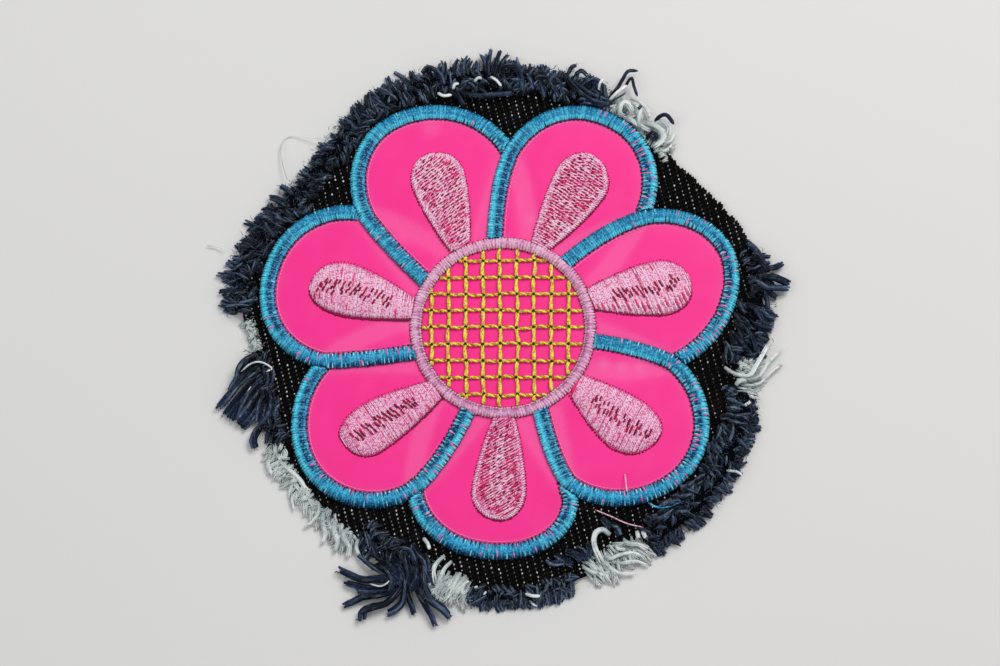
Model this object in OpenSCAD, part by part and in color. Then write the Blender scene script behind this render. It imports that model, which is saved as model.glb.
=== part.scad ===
// Embroidered flower patch: vinyl petals sewn on a round of frayed black denim.
// It lies flat. Origin: middle of the centre ring, on the back face of the denim.
// +X is right and +Y is up as the face is seen, and +Z comes out of the face.

/* [Denim] */
// Thickness of the denim
denim_t = 1.2; // [1:0.1:2]
// Reach of the cut edge beyond its table
edge_extra = 0; // [0:0.1:2]

/* [Flower] */
// Thickness of the vinyl sheet
vinyl_t = 1.0; // [0.8:0.1:1.5]
// Width of a petal's satin border
border_w = 3.8; // [3:0.1:4.2]
// Height of the border over the vinyl
border_h = 1.2; // [0.8:0.1:1.6]
// Height of a teardrop's middle over the vinyl
teardrop_h = 1.1; // [0.8:0.1:1.5]

/* [Centre] */
// Outer radius of the centre ring
ring_r = 23.1; // [22.8:0.1:23.4]
// Width of the ring's satin stitch
ring_w = 2.7; // [2.2:0.1:3]
// Height of the ring over the vinyl
ring_h = 1.3; // [1:0.1:1.6]
// Spacing of the net's threads
net_pitch = 4.27; // [4:0.01:4.5]
// Width of a net thread
net_w = 1.0; // [0.8:0.1:1.2]
// Height of a net thread over the vinyl
net_h = 0.7; // [0.6:0.1:1]

/* [Frayed edge] */
// Length of the yarn locks compared with their tables
lock_scale = 1; // [0.9:0.05:1.1]
// Thickness of the locks compared with their tables
lock_fat = 1; // [0.9:0.05:1.1]

/* [Fit] */
// Gap between neighbouring pieces
gap = 0.05; // [0.03:0.01:0.1]

/* [Hidden] */
$fn = 96;
face_z = denim_t + gap;
vinyl_z = face_z + vinyl_t;
sewn_z = vinyl_z + gap;
ring_inner_r = ring_r - ring_w;
vinyl_margin = 0.6;
net_rows = 9;
net_shift = -0.75;
petal_steps = 7;
drop_steps = 4;
sample_step = 3;

// Columns of the petal and teardrop tables
AXIS = 0;
TIP = 1;
WIDE_CCW = 2;
HALF_CCW = 3;
WIDE_CW = 4;
HALF_CW = 5;
FULL = 6;
FOOT_CCW = 7;
FOOT_CW = 8;
BOW_CCW = 9;
BOW_CW = 10;

// Border centre lines: bearing of the axis, reach of the tip, then on the counter-clockwise and
// the clockwise side the reach of the widest place and its half width, the fullness of the cap,
// the half width at the ring on each side, and how far each flank bows out
PETALS = [
    // axis tip   wide half  wide half  full foot foot bow bow
    [117.4, 60.3, 41.0, 17.4, 39.0, 22.4, 2.0, 11.0, 10.0, 1.3, 1.8],
    [63.0, 60.4, 40.7, 18.9, 40.4, 18.2, 2.1, 11.2, 10.0, 1.5, 1.8],
    [18.2, 59.5, 41.1, 16.0, 35.8, 21.7, 1.9, 10.0, 10.0, 1.8, 1.8],
    [-37.2, 57.7, 39.0, 18.3, 37.0, 21.6, 1.9, 9.8, 9.5, 1.4, 1.4],
    [-91.9, 56.5, 43.0, 18.1, 39.5, 20.6, 2.1, 9.4, 10.0, 1.1, 1.8],
    [-141.4, 59.5, 41.9, 18.1, 38.0, 20.9, 1.9, 10.0, 10.0, 1.6, 1.8],
    [167.1, 60.0, 41.9, 18.4, 39.7, 20.9, 2.1, 10.2, 10.0, 1.2, 1.8]
];

// Petals that lie over each petal, by their place in the table
OVER = [[1], [2], [3], [], [3, 5], [6], [0]];

// Teardrops, with the petal table's columns measured from the drop's own root
DROPS = [
    // axis  tip  wide half wide half full foot foot bow bow
    [108.4, 26.3, 18.7, 6.4, 19.4, 7.3, 2.1, 2.5, 2.5, 1.5, 1.5],
    [60.4, 27.5, 19.7, 6.2, 19.6, 7.8, 2.0, 2.4, 2.4, 1.5, 1.5],
    [6.6, 25.8, 17.8, 7.7, 18.0, 6.4, 2.2, 2.7, 2.7, 1.5, 1.5],
    [-33.1, 24.9, 15.5, 5.4, 16.2, 8.8, 2.2, 2.8, 2.8, 1.5, 1.5],
    [-93.0, 26.0, 18.5, 6.3, 19.0, 7.1, 2.0, 2.7, 2.7, 1.5, 1.5],
    [-152.2, 26.8, 20.3, 7.6, 16.4, 5.3, 2.1, 2.7, 2.7, 1.5, 1.5],
    [166.3, 26.7, 17.3, 5.8, 18.1, 7.8, 2.2, 2.7, 2.7, 1.5, 1.5]
];

// Bearing from the centre at which each teardrop's root meets the ring
DROP_ROOTS = [118.1, 66.2, 19.3, -38.6, -89.2, -136.2, 168.2];

// Cut edge of the denim: bearing, reach
EDGE = [
    [0, 64.0], [6, 65.0], [12, 66.0], [20, 66.0], [25, 65.0], [30, 63.2], [35, 62.2], [40, 61.7],
    [47, 61.0], [55, 62.4], [64, 64.2], [75, 65.4], [88, 65.0], [100, 66.0], [110, 66.4],
    [118, 66.0], [127, 64.0], [135, 62.2], [142, 61.4], [150, 62.2], [158, 65.0], [166, 67.0],
    [174, 67.0], [180, 63.8], [186, 61.8], [195, 61.6], [203, 62.6], [210, 63.2], [220, 63.4],
    [228, 63.0], [236, 64.2], [244, 66.0], [254, 67.0], [264, 67.6], [275, 67.5], [284, 66.0],
    [295, 65.0], [305, 65.5], [315, 66.5], [325, 66.6], [333, 65.6], [340, 65.0], [346, 62.6],
    [352, 61.6], [360, 64.0]
];

// Columns of the table of frayed sections
FROM = 0;
TO = 1;
SHIFT = 2;
WIDE = 3;
TALL = 4;
COUNT = 5;
LENGTH = 6;
THICK = 7;
LEAN = 8;

// Frayed sections: first and last bearing, shift of the strip beyond the cut edge, half width and
// height of the strip, number of locks, their reach past the strip, thickness and lean
INDIGO_ROLL_TOP = [66, 118, -0.2, 3.2, 3.6, 11, 3.8, 1.5, 30];
INDIGO_ROLL_UPPER_LEFT = [118, 178, 0.2, 2.9, 3.6, 13, 3.4, 1.5, 30];
WHITE_FUZZ_LEFT = [178, 185.5, 0.4, 1.2, 2.2, 3, 2.6, 0.8, 25];
INDIGO_TUFT_LEFT = [185.5, 207, 0.2, 2.4, 3.4, 3, 2.6, 1.2, 25];
WHITE_FUZZ_LOWER_LEFT = [207, 235, 1.0, 1.6, 2.2, 9, 4.2, 0.9, 30];
INDIGO_TASSEL_LOWER_LEFT = [235, 255, -1.6, 2.6, 3.6, 3, 3.6, 1.4, 25];
WHITE_TUFT_BOTTOM = [255, 263, -2.6, 2.2, 3.0, 2, 3.6, 1.1, 20];
INDIGO_FRINGE_BOTTOM = [263, 288, 0.6, 2.0, 3.0, 7, 3.2, 1.3, 30];
WHITE_CURLS_LOWER_RIGHT = [288, 303, -1.6, 2.4, 2.6, 4, 4.4, 0.9, 25];
INDIGO_ROLL_LOWER_RIGHT = [303, 344.5, -0.6, 3.4, 3.6, 10, 3.4, 1.5, 30];
WHITE_TUFT_RIGHT = [344.5, 353, -0.4, 1.8, 2.8, 2, 3.6, 0.9, 20];
INDIGO_ROLL_RIGHT = [353, 367, -0.2, 3.2, 3.6, 4, 3.2, 1.4, 25];
INDIGO_TUFT_RIGHT = [367, 380, -0.2, 2.0, 3.2, 2, 3.0, 1.2, 20];
WHITE_CURLS_TOP_RIGHT = [47, 66, 0.4, 2.2, 2.8, 5, 3.8, 0.9, 30];

// Columns of the table of fans
KNOT_BEARING = 0;
KNOT_REACH = 1;
TIP_FROM = 2;
TIP_TO = 3;
REACH_FROM = 4;
REACH_TO = 5;
FAN_COUNT = 6;
FAN_THICK = 7;
FAN_BEND = 8;

// Fans of longer ends: bearing and reach of the knot, bearings of the first and last tip, their
// reaches, number of ends, thickness, and how far the ends bend in bearing on their way out
FAN_LEFT = [190.5, 63.0, 192.0, 203.0, 72.0, 68.0, 6, 1.3, -2.5];
FAN_TASSEL = [247.0, 66.0, 237.5, 252.5, 75.0, 78.0, 7, 1.3, 0.5];
FAN_BOTTOM = [257.5, 64.0, 256.5, 261.5, 70.5, 71.0, 3, 1.0, 0.5];
FAN_WHITE_RIGHT = [349.0, 61.0, 346.5, 351.5, 70.5, 70.0, 4, 0.9, 0.5];
FAN_RIGHT = [370.5, 64.5, 369.0, 378.0, 72.5, 70.0, 5, 1.2, 1.0];
FAN_TOP = [91.0, 66.5, 88.0, 95.0, 72.0, 72.5, 4, 1.4, 1.0];

// Columns of the table of curls
CURL_BEARING = 0;
CURL_REACH = 1;
CURL_R = 2;
CURL_START = 3;
CURL_SWEEP = 4;
CURL_THICK = 5;

// Curled white yarn: bearing and reach of the curl's middle, its radius, start, sweep, thickness
CURLS_TOP_RIGHT = [
    [51.5, 67.0, 3.0, 200, 230, 0.9],
    [60.5, 68.5, 3.2, 180, 250, 0.9]
];
CURLS_LOWER_RIGHT = [
    [292.5, 66.5, 2.6, 60, 250, 0.9],
    [298.5, 68.0, 2.6, 80, 220, 0.9]
];

// Point at a bearing and a reach from the centre
function polar(bearing, reach) = [reach * cos(bearing), reach * sin(bearing)];

// Point in the frame of an outline's axis: along it, and across it to the counter-clockwise side
function on_axis(axis, along, across) =
    [along * cos(axis) - across * sin(axis), along * sin(axis) + across * cos(axis)];

// Point on the round cap, from the widest place at s = 0 to the tip at s = 1
function cap_point(row, side, s) =
    let (wide = side > 0 ? row[WIDE_CCW] : row[WIDE_CW])
    let (half = side > 0 ? row[HALF_CCW] : row[HALF_CW])
    let (power = 2 / row[FULL])
    on_axis(row[AXIS], wide + (row[TIP] - wide) * pow(sin(90 * s), power),
            side * half * pow(cos(90 * s), power));

// Point on the flank, from the foot at s = 0 to the widest place at s = 1
function flank_point(row, side, s, foot_r) =
    let (wide = side > 0 ? row[WIDE_CCW] : row[WIDE_CW])
    let (half = side > 0 ? row[HALF_CCW] : row[HALF_CW])
    let (foot = side > 0 ? row[FOOT_CCW] : row[FOOT_CW])
    let (bow = side > 0 ? row[BOW_CCW] : row[BOW_CW])
    let (foot_along = foot_r > foot ? sqrt(foot_r * foot_r - foot * foot) : 0)
    on_axis(row[AXIS], foot_along + s * (wide - foot_along),
            side * (foot + (half - foot) * (1 - pow(1 - s, bow))));

// One side of an outline, from its foot to its tip
function half_outline(row, side, steps, foot_r) = concat(
    [for (i = [0 : steps]) flank_point(row, side, i / steps, foot_r)],
    [for (i = [1 : steps]) cap_point(row, side, i / steps)]
);

// The whole outline, counter-clockwise from the clockwise foot
function outline(row, steps, foot_r) = let (last = 2 * steps) concat(
    half_outline(row, -1, steps, foot_r),
    [for (i = [last - 1 : -1 : 0]) half_outline(row, 1, steps, foot_r)[i]]
);

// Direction square to a path at one of its points, to the right of travel
function square_to(path, i) =
    let (a = path[max(i - 1, 0)])
    let (b = path[min(i + 1, len(path) - 1)])
    let (d = b - a)
    [d[1], -d[0]] / norm(d);

// Reach of the denim's cut edge at a bearing, smoothed between the table's rows
function wrapped(bearing) = ((bearing % 360) + 360) % 360;
function edge_reach(bearing) = edge_extra
    + (lookup(wrapped(bearing - 3), EDGE) + lookup(wrapped(bearing), EDGE)
       + lookup(wrapped(bearing + 3), EDGE)) / 3;

// Convex block round a set of points
module block(points) {
    hull() polyhedron(points, [for (i = [1 : len(points) - 2]) [0, i, i + 1]]);
}

// Small eight-sided bead, the end of a lock's segment, kept above the surface it lies on
module bead(centre, r) {
    z = max(centre[2], r);
    block([for (d = [[r, 0, 0], [-r, 0, 0], [0, r, 0], [0, -r, 0], [0, 0, r], [0, 0, -r]])
        [centre[0], centre[1], z] + d]);
}

// Lock of yarn: a chain of segments through beads given as [centre, radius]
module chain(beads) {
    for (i = [0 : len(beads) - 2]) hull() {
        bead(beads[i][0], beads[i][1]);
        bead(beads[i + 1][0], beads[i + 1][1]);
    }
}

// Satin stitch border along a path: a rounded bead on top of the vinyl
module satin_border(path) {
    half = border_w / 2;
    dome = [[-half, 0], [-0.75 * half, 0.65 * border_h], [-0.3 * half, border_h],
            [0.3 * half, border_h], [0.75 * half, 0.65 * border_h], [half, 0]];
    for (i = [0 : len(path) - 2])
        block([for (k = [i, i + 1]) for (p = dome)
            let (q = path[k] + p[0] * square_to(path, k)) [q[0], q[1], sewn_z + p[1]]]);
}

// Area that one petal takes with its border, grown by a gap
module petal_area(k, grow) {
    offset(delta = grow) polygon(outline(PETALS[k], petal_steps, ring_r / 2));
}

// Outline of the vinyl sheet, grown by a gap
module vinyl_area(grow) {
    for (k = [0 : len(PETALS) - 1]) petal_area(k, vinyl_margin + grow);
    circle(r = ring_r + grow);
}

// Skirt of a border, which goes down to the denim outside the vinyl and laps into the bead
module border_skirt(k) {
    lap = 0.15;
    translate([0, 0, face_z]) linear_extrude(sewn_z - face_z + lap) difference() {
        petal_area(k, border_w / 2 - lap);
        vinyl_area(gap);
    }
}

// Border of one petal, which stops at the ring and at the petals that lie over it
module petal_border(k) {
    difference() {
        union() {
            satin_border(outline(PETALS[k], petal_steps, ring_r - ring_w));
            border_skirt(k);
        }
        translate([0, 0, face_z - 1]) linear_extrude(border_h + vinyl_t + 3) {
            circle(r = ring_r + gap);
            for (j = OVER[k]) petal_area(j, border_w / 2 + gap);
        }
    }
}

// Embroidered drop: ribs across an outline, each a low arch, joined into a dome
module teardrop(k) {
    row = DROPS[k];
    steps = drop_steps;
    left = half_outline(row, 1, steps, 0);
    right = half_outline(row, -1, steps, 0);
    arch = [[0, 0], [0.12, 0.6], [0.32, 0.95], [0.68, 0.95], [0.88, 0.6], [1, 0]];
    last = 2 * steps - 1;
    root = polar(DROP_ROOTS[k], ring_r - 0.4);
    module rib_pair(i) {
        block([for (j = [i, i + 1]) for (a = arch)
            let (tall = teardrop_h * min(1, 0.45 + (last + 1 - j) * 0.25))
            let (p = root + right[j] + a[0] * (left[j] - right[j]))
            [p[0], p[1], sewn_z + a[1] * (j > last ? 0.3 : tall)]]);
    }
    difference() {
        for (i = [0 : last]) rib_pair(i);
        translate([0, 0, sewn_z - 1]) linear_extrude(teardrop_h + 2) circle(r = ring_r + gap);
    }
}

// Cut outline of the denim
module denim_area(grow) {
    polygon([for (b = [0 : sample_step : 360 - sample_step]) polar(b, edge_reach(b) + grow)]);
}

// Everything that the flower takes, grown by a gap
module flower_area(grow) {
    for (k = [0 : len(PETALS) - 1]) petal_area(k, border_w / 2 + grow);
}

// Wedge of the plane between two bearings
module sector(from, to) {
    reach = 2 * ring_r * 2;
    inset = 0.1;
    polygon(concat([[0, 0]], [for (t = [0 : 0.25 : 1])
        polar(from + inset + t * (to - from - 2 * inset), reach)]));
}

// Strip of matted yarn that lies along the cut edge and holds the locks
module strip(s) {
    n = max(2, round((s[TO] - s[FROM]) / 3.5));
    function slice(i) =
        let (b = s[FROM] + (s[TO] - s[FROM]) * i / n)
        let (r = edge_reach(b) + s[SHIFT])
        [for (p = [[-1, 0], [-1, 0.4], [-0.4, 1], [0.4, 1], [1, 0.4], [1, 0]])
            let (q = polar(b, r + p[0] * s[WIDE])) [q[0], q[1], p[1] * s[TALL]]];
    for (i = [0 : n - 1]) block(concat(slice(i), slice(i + 1)));
}

// Short locks that stand out all along a strip, leaning to alternate sides
module strip_locks(s) {
    for (i = [0 : s[COUNT] - 1]) {
        b = s[FROM] + (s[TO] - s[FROM]) * (i + 0.5) / s[COUNT];
        r = edge_reach(b) + s[SHIFT];
        side = i % 2 == 0 ? 1 : -1;
        long = s[LENGTH] * lock_scale * (0.8 + 0.2 * cos(137 * i));
        thick = s[THICK] * lock_fat;
        root = polar(b, r);
        mid = root + (s[WIDE] * 0.8) * polar(b, 1);
        tip = mid + long * polar(b + side * s[LEAN], 1);
        chain([
            [[root[0], root[1], s[TALL] * 0.75], thick],
            [[mid[0], mid[1], s[TALL] * (0.45 + 0.2 * side)], thick],
            [[tip[0], tip[1], thick * (1 + 0.4 * side)], thick * 0.55]
        ]);
    }
}

// Longer ends that spread from a knot
module fan(f, tall) {
    knot = polar(f[KNOT_BEARING], f[KNOT_REACH]);
    for (i = [0 : f[FAN_COUNT] - 1]) {
        t = i / (f[FAN_COUNT] - 1);
        b = f[TIP_FROM] + t * (f[TIP_TO] - f[TIP_FROM]);
        reach = f[REACH_FROM] + t * (f[REACH_TO] - f[REACH_FROM]);
        out = (reach - f[KNOT_REACH]) * lock_scale * (0.9 + 0.1 * cos(140 * i));
        tip = polar(b, f[KNOT_REACH] + out);
        mid = polar((f[KNOT_BEARING] + b) / 2 + f[FAN_BEND], f[KNOT_REACH] + 0.5 * out);
        thick = f[FAN_THICK] * lock_fat;
        chain([
            [[knot[0], knot[1], tall * 0.6], thick * 1.2],
            [[mid[0], mid[1], tall * (i % 2 == 0 ? 0.6 : 0.35)], thick],
            [[tip[0], tip[1], thick], thick * 0.6]
        ]);
    }
}

// Yarn that curls round on itself, rooted in the strip
module curl(c, s) {
    middle = polar(c[CURL_BEARING], c[CURL_REACH]);
    root = polar(c[CURL_BEARING], edge_reach(c[CURL_BEARING]) + s[SHIFT]);
    thick = c[CURL_THICK] * lock_fat;
    steps = 5;
    arc = [for (i = [0 : steps])
        let (q = middle + polar(c[CURL_START] + c[CURL_SWEEP] * i / steps, c[CURL_R]))
        [[q[0], q[1], thick + (steps - i) * 0.2], thick]];
    chain(concat([[[root[0], root[1], s[TALL] * 0.5], thick]], arc));
}

// One frayed section: its strip, locks, fans and curls, clear of the denim and the flower
module frayed(s, fans = [], curls = []) {
    top = 12;
    intersection() {
        difference() {
            union() {
                strip(s);
                strip_locks(s);
                for (f = fans) fan(f, s[TALL]);
                for (c = curls) curl(c, s);
            }
            translate([0, 0, -1]) linear_extrude(denim_t + gap + 1) denim_area(gap);
            translate([0, 0, -1]) linear_extrude(top) flower_area(2 * gap);
        }
        linear_extrude(top) sector(s[FROM], s[TO]);
    }
}

module denim_backing() {
    color("#17171c") linear_extrude(denim_t) denim_area(0);
}

module vinyl_flower() {
    color("#ff3a9a") translate([0, 0, face_z]) linear_extrude(vinyl_t) vinyl_area(0);
}

module petal_border_top_left() {
    color("#2f9fc4") petal_border(0);
}

module petal_border_top_right() {
    color("#2f9fc4") petal_border(1);
}

module petal_border_right() {
    color("#2f9fc4") petal_border(2);
}

module petal_border_lower_right() {
    color("#2f9fc4") petal_border(3);
}

module petal_border_bottom() {
    color("#2f9fc4") petal_border(4);
}

module petal_border_lower_left() {
    color("#2f9fc4") petal_border(5);
}

module petal_border_left() {
    color("#2f9fc4") petal_border(6);
}

module teardrop_top_left() {
    color("#e694bf") teardrop(0);
}

module teardrop_top_right() {
    color("#e694bf") teardrop(1);
}

module teardrop_right() {
    color("#e694bf") teardrop(2);
}

module teardrop_lower_right() {
    color("#e694bf") teardrop(3);
}

module teardrop_bottom() {
    color("#e694bf") teardrop(4);
}

module teardrop_lower_left() {
    color("#e694bf") teardrop(5);
}

module teardrop_left() {
    color("#e694bf") teardrop(6);
}

module centre_ring() {
    mid = ring_r - ring_w / 2;
    half = ring_w / 2;
    color("#dd8cba") translate([0, 0, sewn_z]) rotate_extrude()
        polygon([[mid - half, 0], [mid + half, 0], [mid + 0.75 * half, 0.65 * ring_h],
                 [mid + 0.3 * half, ring_h], [mid - 0.3 * half, ring_h],
                 [mid - 0.75 * half, 0.65 * ring_h]]);
}

module centre_net() {
    long = 2 * ring_inner_r;
    half_span = (net_rows - 1) / 2;
    color("#e0cc3c") translate([0, 0, sewn_z]) linear_extrude(net_h) intersection() {
        circle(r = ring_inner_r - gap);
        for (i = [-half_span : half_span]) {
            translate([net_shift + i * net_pitch, 0]) square([net_w, long], center = true);
            translate([0, i * net_pitch]) square([long, net_w], center = true);
        }
    }
}

module indigo_roll_top() {
    color("#2b3c5c") frayed(INDIGO_ROLL_TOP, fans = [FAN_TOP]);
}

module indigo_roll_upper_left() {
    color("#2b3c5c") frayed(INDIGO_ROLL_UPPER_LEFT);
}

module white_fuzz_left() {
    color("#dfe6e4") frayed(WHITE_FUZZ_LEFT);
}

module indigo_tuft_left() {
    color("#2b3c5c") frayed(INDIGO_TUFT_LEFT, fans = [FAN_LEFT]);
}

module white_fuzz_lower_left() {
    color("#dfe6e4") frayed(WHITE_FUZZ_LOWER_LEFT);
}

module indigo_tassel_lower_left() {
    color("#2b3c5c") frayed(INDIGO_TASSEL_LOWER_LEFT, fans = [FAN_TASSEL]);
}

module white_tuft_bottom() {
    color("#dfe6e4") frayed(WHITE_TUFT_BOTTOM, fans = [FAN_BOTTOM]);
}

module indigo_fringe_bottom() {
    color("#2b3c5c") frayed(INDIGO_FRINGE_BOTTOM);
}

module white_curls_lower_right() {
    color("#dfe6e4") frayed(WHITE_CURLS_LOWER_RIGHT, curls = CURLS_LOWER_RIGHT);
}

module indigo_roll_lower_right() {
    color("#2b3c5c") frayed(INDIGO_ROLL_LOWER_RIGHT);
}

module white_tuft_right() {
    color("#dfe6e4") frayed(WHITE_TUFT_RIGHT, fans = [FAN_WHITE_RIGHT]);
}

module indigo_roll_right() {
    color("#2b3c5c") frayed(INDIGO_ROLL_RIGHT);
}

module indigo_tuft_right() {
    color("#2b3c5c") frayed(INDIGO_TUFT_RIGHT, fans = [FAN_RIGHT]);
}

module white_curls_top_right() {
    color("#dfe6e4") frayed(WHITE_CURLS_TOP_RIGHT, curls = CURLS_TOP_RIGHT);
}

denim_backing();
vinyl_flower();
petal_border_top_left();
petal_border_top_right();
petal_border_right();
petal_border_lower_right();
petal_border_bottom();
petal_border_lower_left();
petal_border_left();
teardrop_top_left();
teardrop_top_right();
teardrop_right();
teardrop_lower_right();
teardrop_bottom();
teardrop_lower_left();
teardrop_left();
centre_ring();
centre_net();
indigo_roll_top();
indigo_roll_upper_left();
white_fuzz_left();
indigo_tuft_left();
white_fuzz_lower_left();
indigo_tassel_lower_left();
white_tuft_bottom();
indigo_fringe_bottom();
white_curls_lower_right();
indigo_roll_lower_right();
white_tuft_right();
indigo_roll_right();
indigo_tuft_right();
white_curls_top_right();
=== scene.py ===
"""A flower patch of pink vinyl on black denim, with satin-stitch edges and a frayed yarn rim."""

import logging
import math
from collections.abc import Callable
from dataclasses import dataclass, field
from enum import Enum

import bpy
import numpy as np
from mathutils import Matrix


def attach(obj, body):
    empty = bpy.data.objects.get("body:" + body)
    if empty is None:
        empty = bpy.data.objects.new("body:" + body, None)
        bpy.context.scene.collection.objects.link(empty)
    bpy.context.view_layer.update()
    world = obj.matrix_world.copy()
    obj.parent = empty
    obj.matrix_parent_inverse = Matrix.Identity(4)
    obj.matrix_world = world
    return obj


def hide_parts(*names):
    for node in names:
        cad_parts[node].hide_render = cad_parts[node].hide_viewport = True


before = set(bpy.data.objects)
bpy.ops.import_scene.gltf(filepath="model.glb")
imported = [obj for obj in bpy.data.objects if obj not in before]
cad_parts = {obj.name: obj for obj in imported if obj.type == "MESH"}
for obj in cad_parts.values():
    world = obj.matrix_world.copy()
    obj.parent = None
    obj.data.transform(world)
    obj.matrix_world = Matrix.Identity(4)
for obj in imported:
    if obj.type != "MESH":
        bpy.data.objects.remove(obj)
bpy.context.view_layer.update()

LOG = logging.getLogger("patch")
Array = np.ndarray
MM = 0.001
UP = np.array([0.0, 0.0, 1.0])

# Heights and widths that the source gives, in millimetres
DENIM_TOP = 1.2
VINYL_TOP = 2.25
SEWN_Z = 2.3
BORDER_W = 3.8
BORDER_H = 1.2
DROP_H = 1.1
RING_R = 23.1
RING_W = 2.7
RING_H = 1.3
NET_PITCH = 4.27
NET_SHIFT = -0.75
VINYL_MARGIN = 0.6


class Yarn(Enum):
    """The two yarns that fray out of the denim."""

    INDIGO = "indigo"
    WHITE = "white"


class Fill(Enum):
    """How a drop is filled with stitches."""

    COLUMNS = "two columns that meet in a zigzag"
    OPEN = "short slanting stitches with gaps"


# Shader graph


def math_node(operation: str, swapped: bool = False) -> Callable:
    """Makes the method that joins two numbers in one Math node.

    Args:
        operation: The node's operation.
        swapped: True for an operator's reflected form.

    Returns:
        The method.
    """

    def method(self: "Wire", other: object) -> "Wire":
        """Adds the node and gives its output."""
        first, second = (other, self) if swapped else (self, other)
        return self.graph.wire("ShaderNodeMath", {0: first, 1: second}, operation=operation)

    return method


class Wire:
    """An output socket that takes part in sums as a number does."""

    def __init__(self, graph: "Graph", socket: bpy.types.NodeSocket) -> None:
        """Keeps the socket and the graph it belongs to."""
        self.graph, self.socket = graph, socket

    __add__, __radd__ = math_node("ADD"), math_node("ADD", True)
    __sub__, __rsub__ = math_node("SUBTRACT"), math_node("SUBTRACT", True)
    __mul__, __rmul__ = math_node("MULTIPLY"), math_node("MULTIPLY", True)
    __gt__, __lt__ = math_node("GREATER_THAN"), math_node("LESS_THAN")


def tint(code: str) -> tuple[float, float, float, float]:
    """Turns a screen colour of six hexadecimal digits into the shader's linear one."""
    parts = [int(code[i : i + 2], 16) / 255 for i in (0, 2, 4)]
    return (*(c / 12.92 if c <= 0.04045 else ((c + 0.055) / 1.055) ** 2.4 for c in parts), 1.0)


class Graph:
    """The nodes of one material."""

    def __init__(self, name: str) -> None:
        """Makes the material and its empty tree.

        Args:
            name: The material's name.
        """
        self.material = bpy.data.materials.new(name)
        self.material.use_nodes = True
        self.tree = self.material.node_tree
        self.tree.nodes.clear()

    def node(self, kind: str, inputs: dict | None = None, **settings: object) -> bpy.types.Node:
        """Adds a node.

        Args:
            kind: The node's type.
            inputs: Values, wires or screen colours by socket name or number.
            settings: Its properties, or stops for a ramp's positions and screen colours.

        Returns:
            The new node.
        """
        made = self.tree.nodes.new(kind)
        stops = settings.pop("stops", ())
        for _ in stops[2:]:
            made.color_ramp.elements.new(0.5)
        for i, (place, code) in enumerate(stops):
            made.color_ramp.elements[i].position = place
            made.color_ramp.elements[i].color = tint(code)
        for key, value in settings.items():
            setattr(made, key, value)
        for key, value in (inputs or {}).items():
            if isinstance(value, Wire):
                self.tree.links.new(value.socket, made.inputs[key])
            else:
                made.inputs[key].default_value = tint(value) if isinstance(value, str) else value
        return made

    def wire(self, kind: str, inputs: dict | None = None, output: int | str = 0, **settings: object) -> Wire:
        """Adds a node and gives one of its outputs."""
        return Wire(self, self.node(kind, inputs, **settings).outputs[output])

    def stitch(self) -> tuple[Wire, Wire]:
        """Round and along the strand, each from nought to one."""
        split = self.node("ShaderNodeSeparateXYZ", {0: self.wire("ShaderNodeUVMap", uv_map="stitch")})
        return Wire(self, split.outputs[0]), Wire(self, split.outputs[1])

    def tone(self) -> Wire:
        """The mesh's own number at each point: random, or the share of painted highlight and shade."""
        return self.wire("ShaderNodeAttribute", output="Fac", attribute_name="tone")

    def noise(self, size: float, detail: float = 2.0, vector: Wire | None = None) -> Wire:
        """Soft noise around a half, in spots of a size in metres or in the vector's own unit."""
        spot = vector or self.wire("ShaderNodeTexCoord", output="Object")
        return self.wire("ShaderNodeTexNoise", {"Vector": spot, "Scale": 1 / size, "Detail": detail}, "Fac")

    def fibre(self, around: float, twist: float, along: float, each: float, detail: float = 2.0) -> Wire:
        """Noise drawn out along a strand.

        Args:
            around: Fibres round the strand.
            twist: How much they wind.
            along: How often they end along it.
            each: How much one strand differs from the next.
            detail: Finer layers.

        Returns:
            The noise, around a half.
        """
        side, way = self.stitch()
        axes = {0: side * around + way * twist, 1: way * along, 2: self.tone() * each}
        return self.noise(1.0, detail, self.wire("ShaderNodeCombineXYZ", axes))

    def ramp(self, amount: Wire, stops: tuple[tuple[float, str], ...]) -> Wire:
        """Colours along a number, given by their positions and screen colours."""
        return self.wire("ShaderNodeValToRGB", {0: amount}, "Color", stops=stops)

    def blend(self, amount: object, first: object, second: object) -> Wire:
        """Mixes a share of the second colour into the first."""
        return self.wire("ShaderNodeMix", {0: amount, 6: first, 7: second}, 2, data_type="RGBA")

    def bump(self, height: Wire, strength: float, depth: float) -> Wire:
        """The normal of a relief whose depth is in metres."""
        inputs = {"Height": height, "Strength": strength, "Distance": depth}
        return self.wire("ShaderNodeBump", inputs, "Normal")

    def finish(
        self,
        colour: Wire,
        roughness: object,
        gloss: float = 0.5,
        normal: Wire | None = None,
        sheen: float = 0.0,
    ) -> bpy.types.Material:
        """Ends the graph in a principled surface.

        Args:
            colour: Its colour.
            roughness: Its roughness.
            gloss: Level of its mirror reflection.
            normal: Its relief.
            sheen: Weight of its fuzz.

        Returns:
            The material.
        """
        values = {"Base Color": colour, "Roughness": roughness, "Specular IOR Level": gloss}
        values["Sheen Weight"] = sheen
        if normal:
            values["Normal"] = normal
        self.node("ShaderNodeOutputMaterial", {0: self.wire("ShaderNodeBsdfPrincipled", values)})
        return self.material


# Finishes


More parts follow.
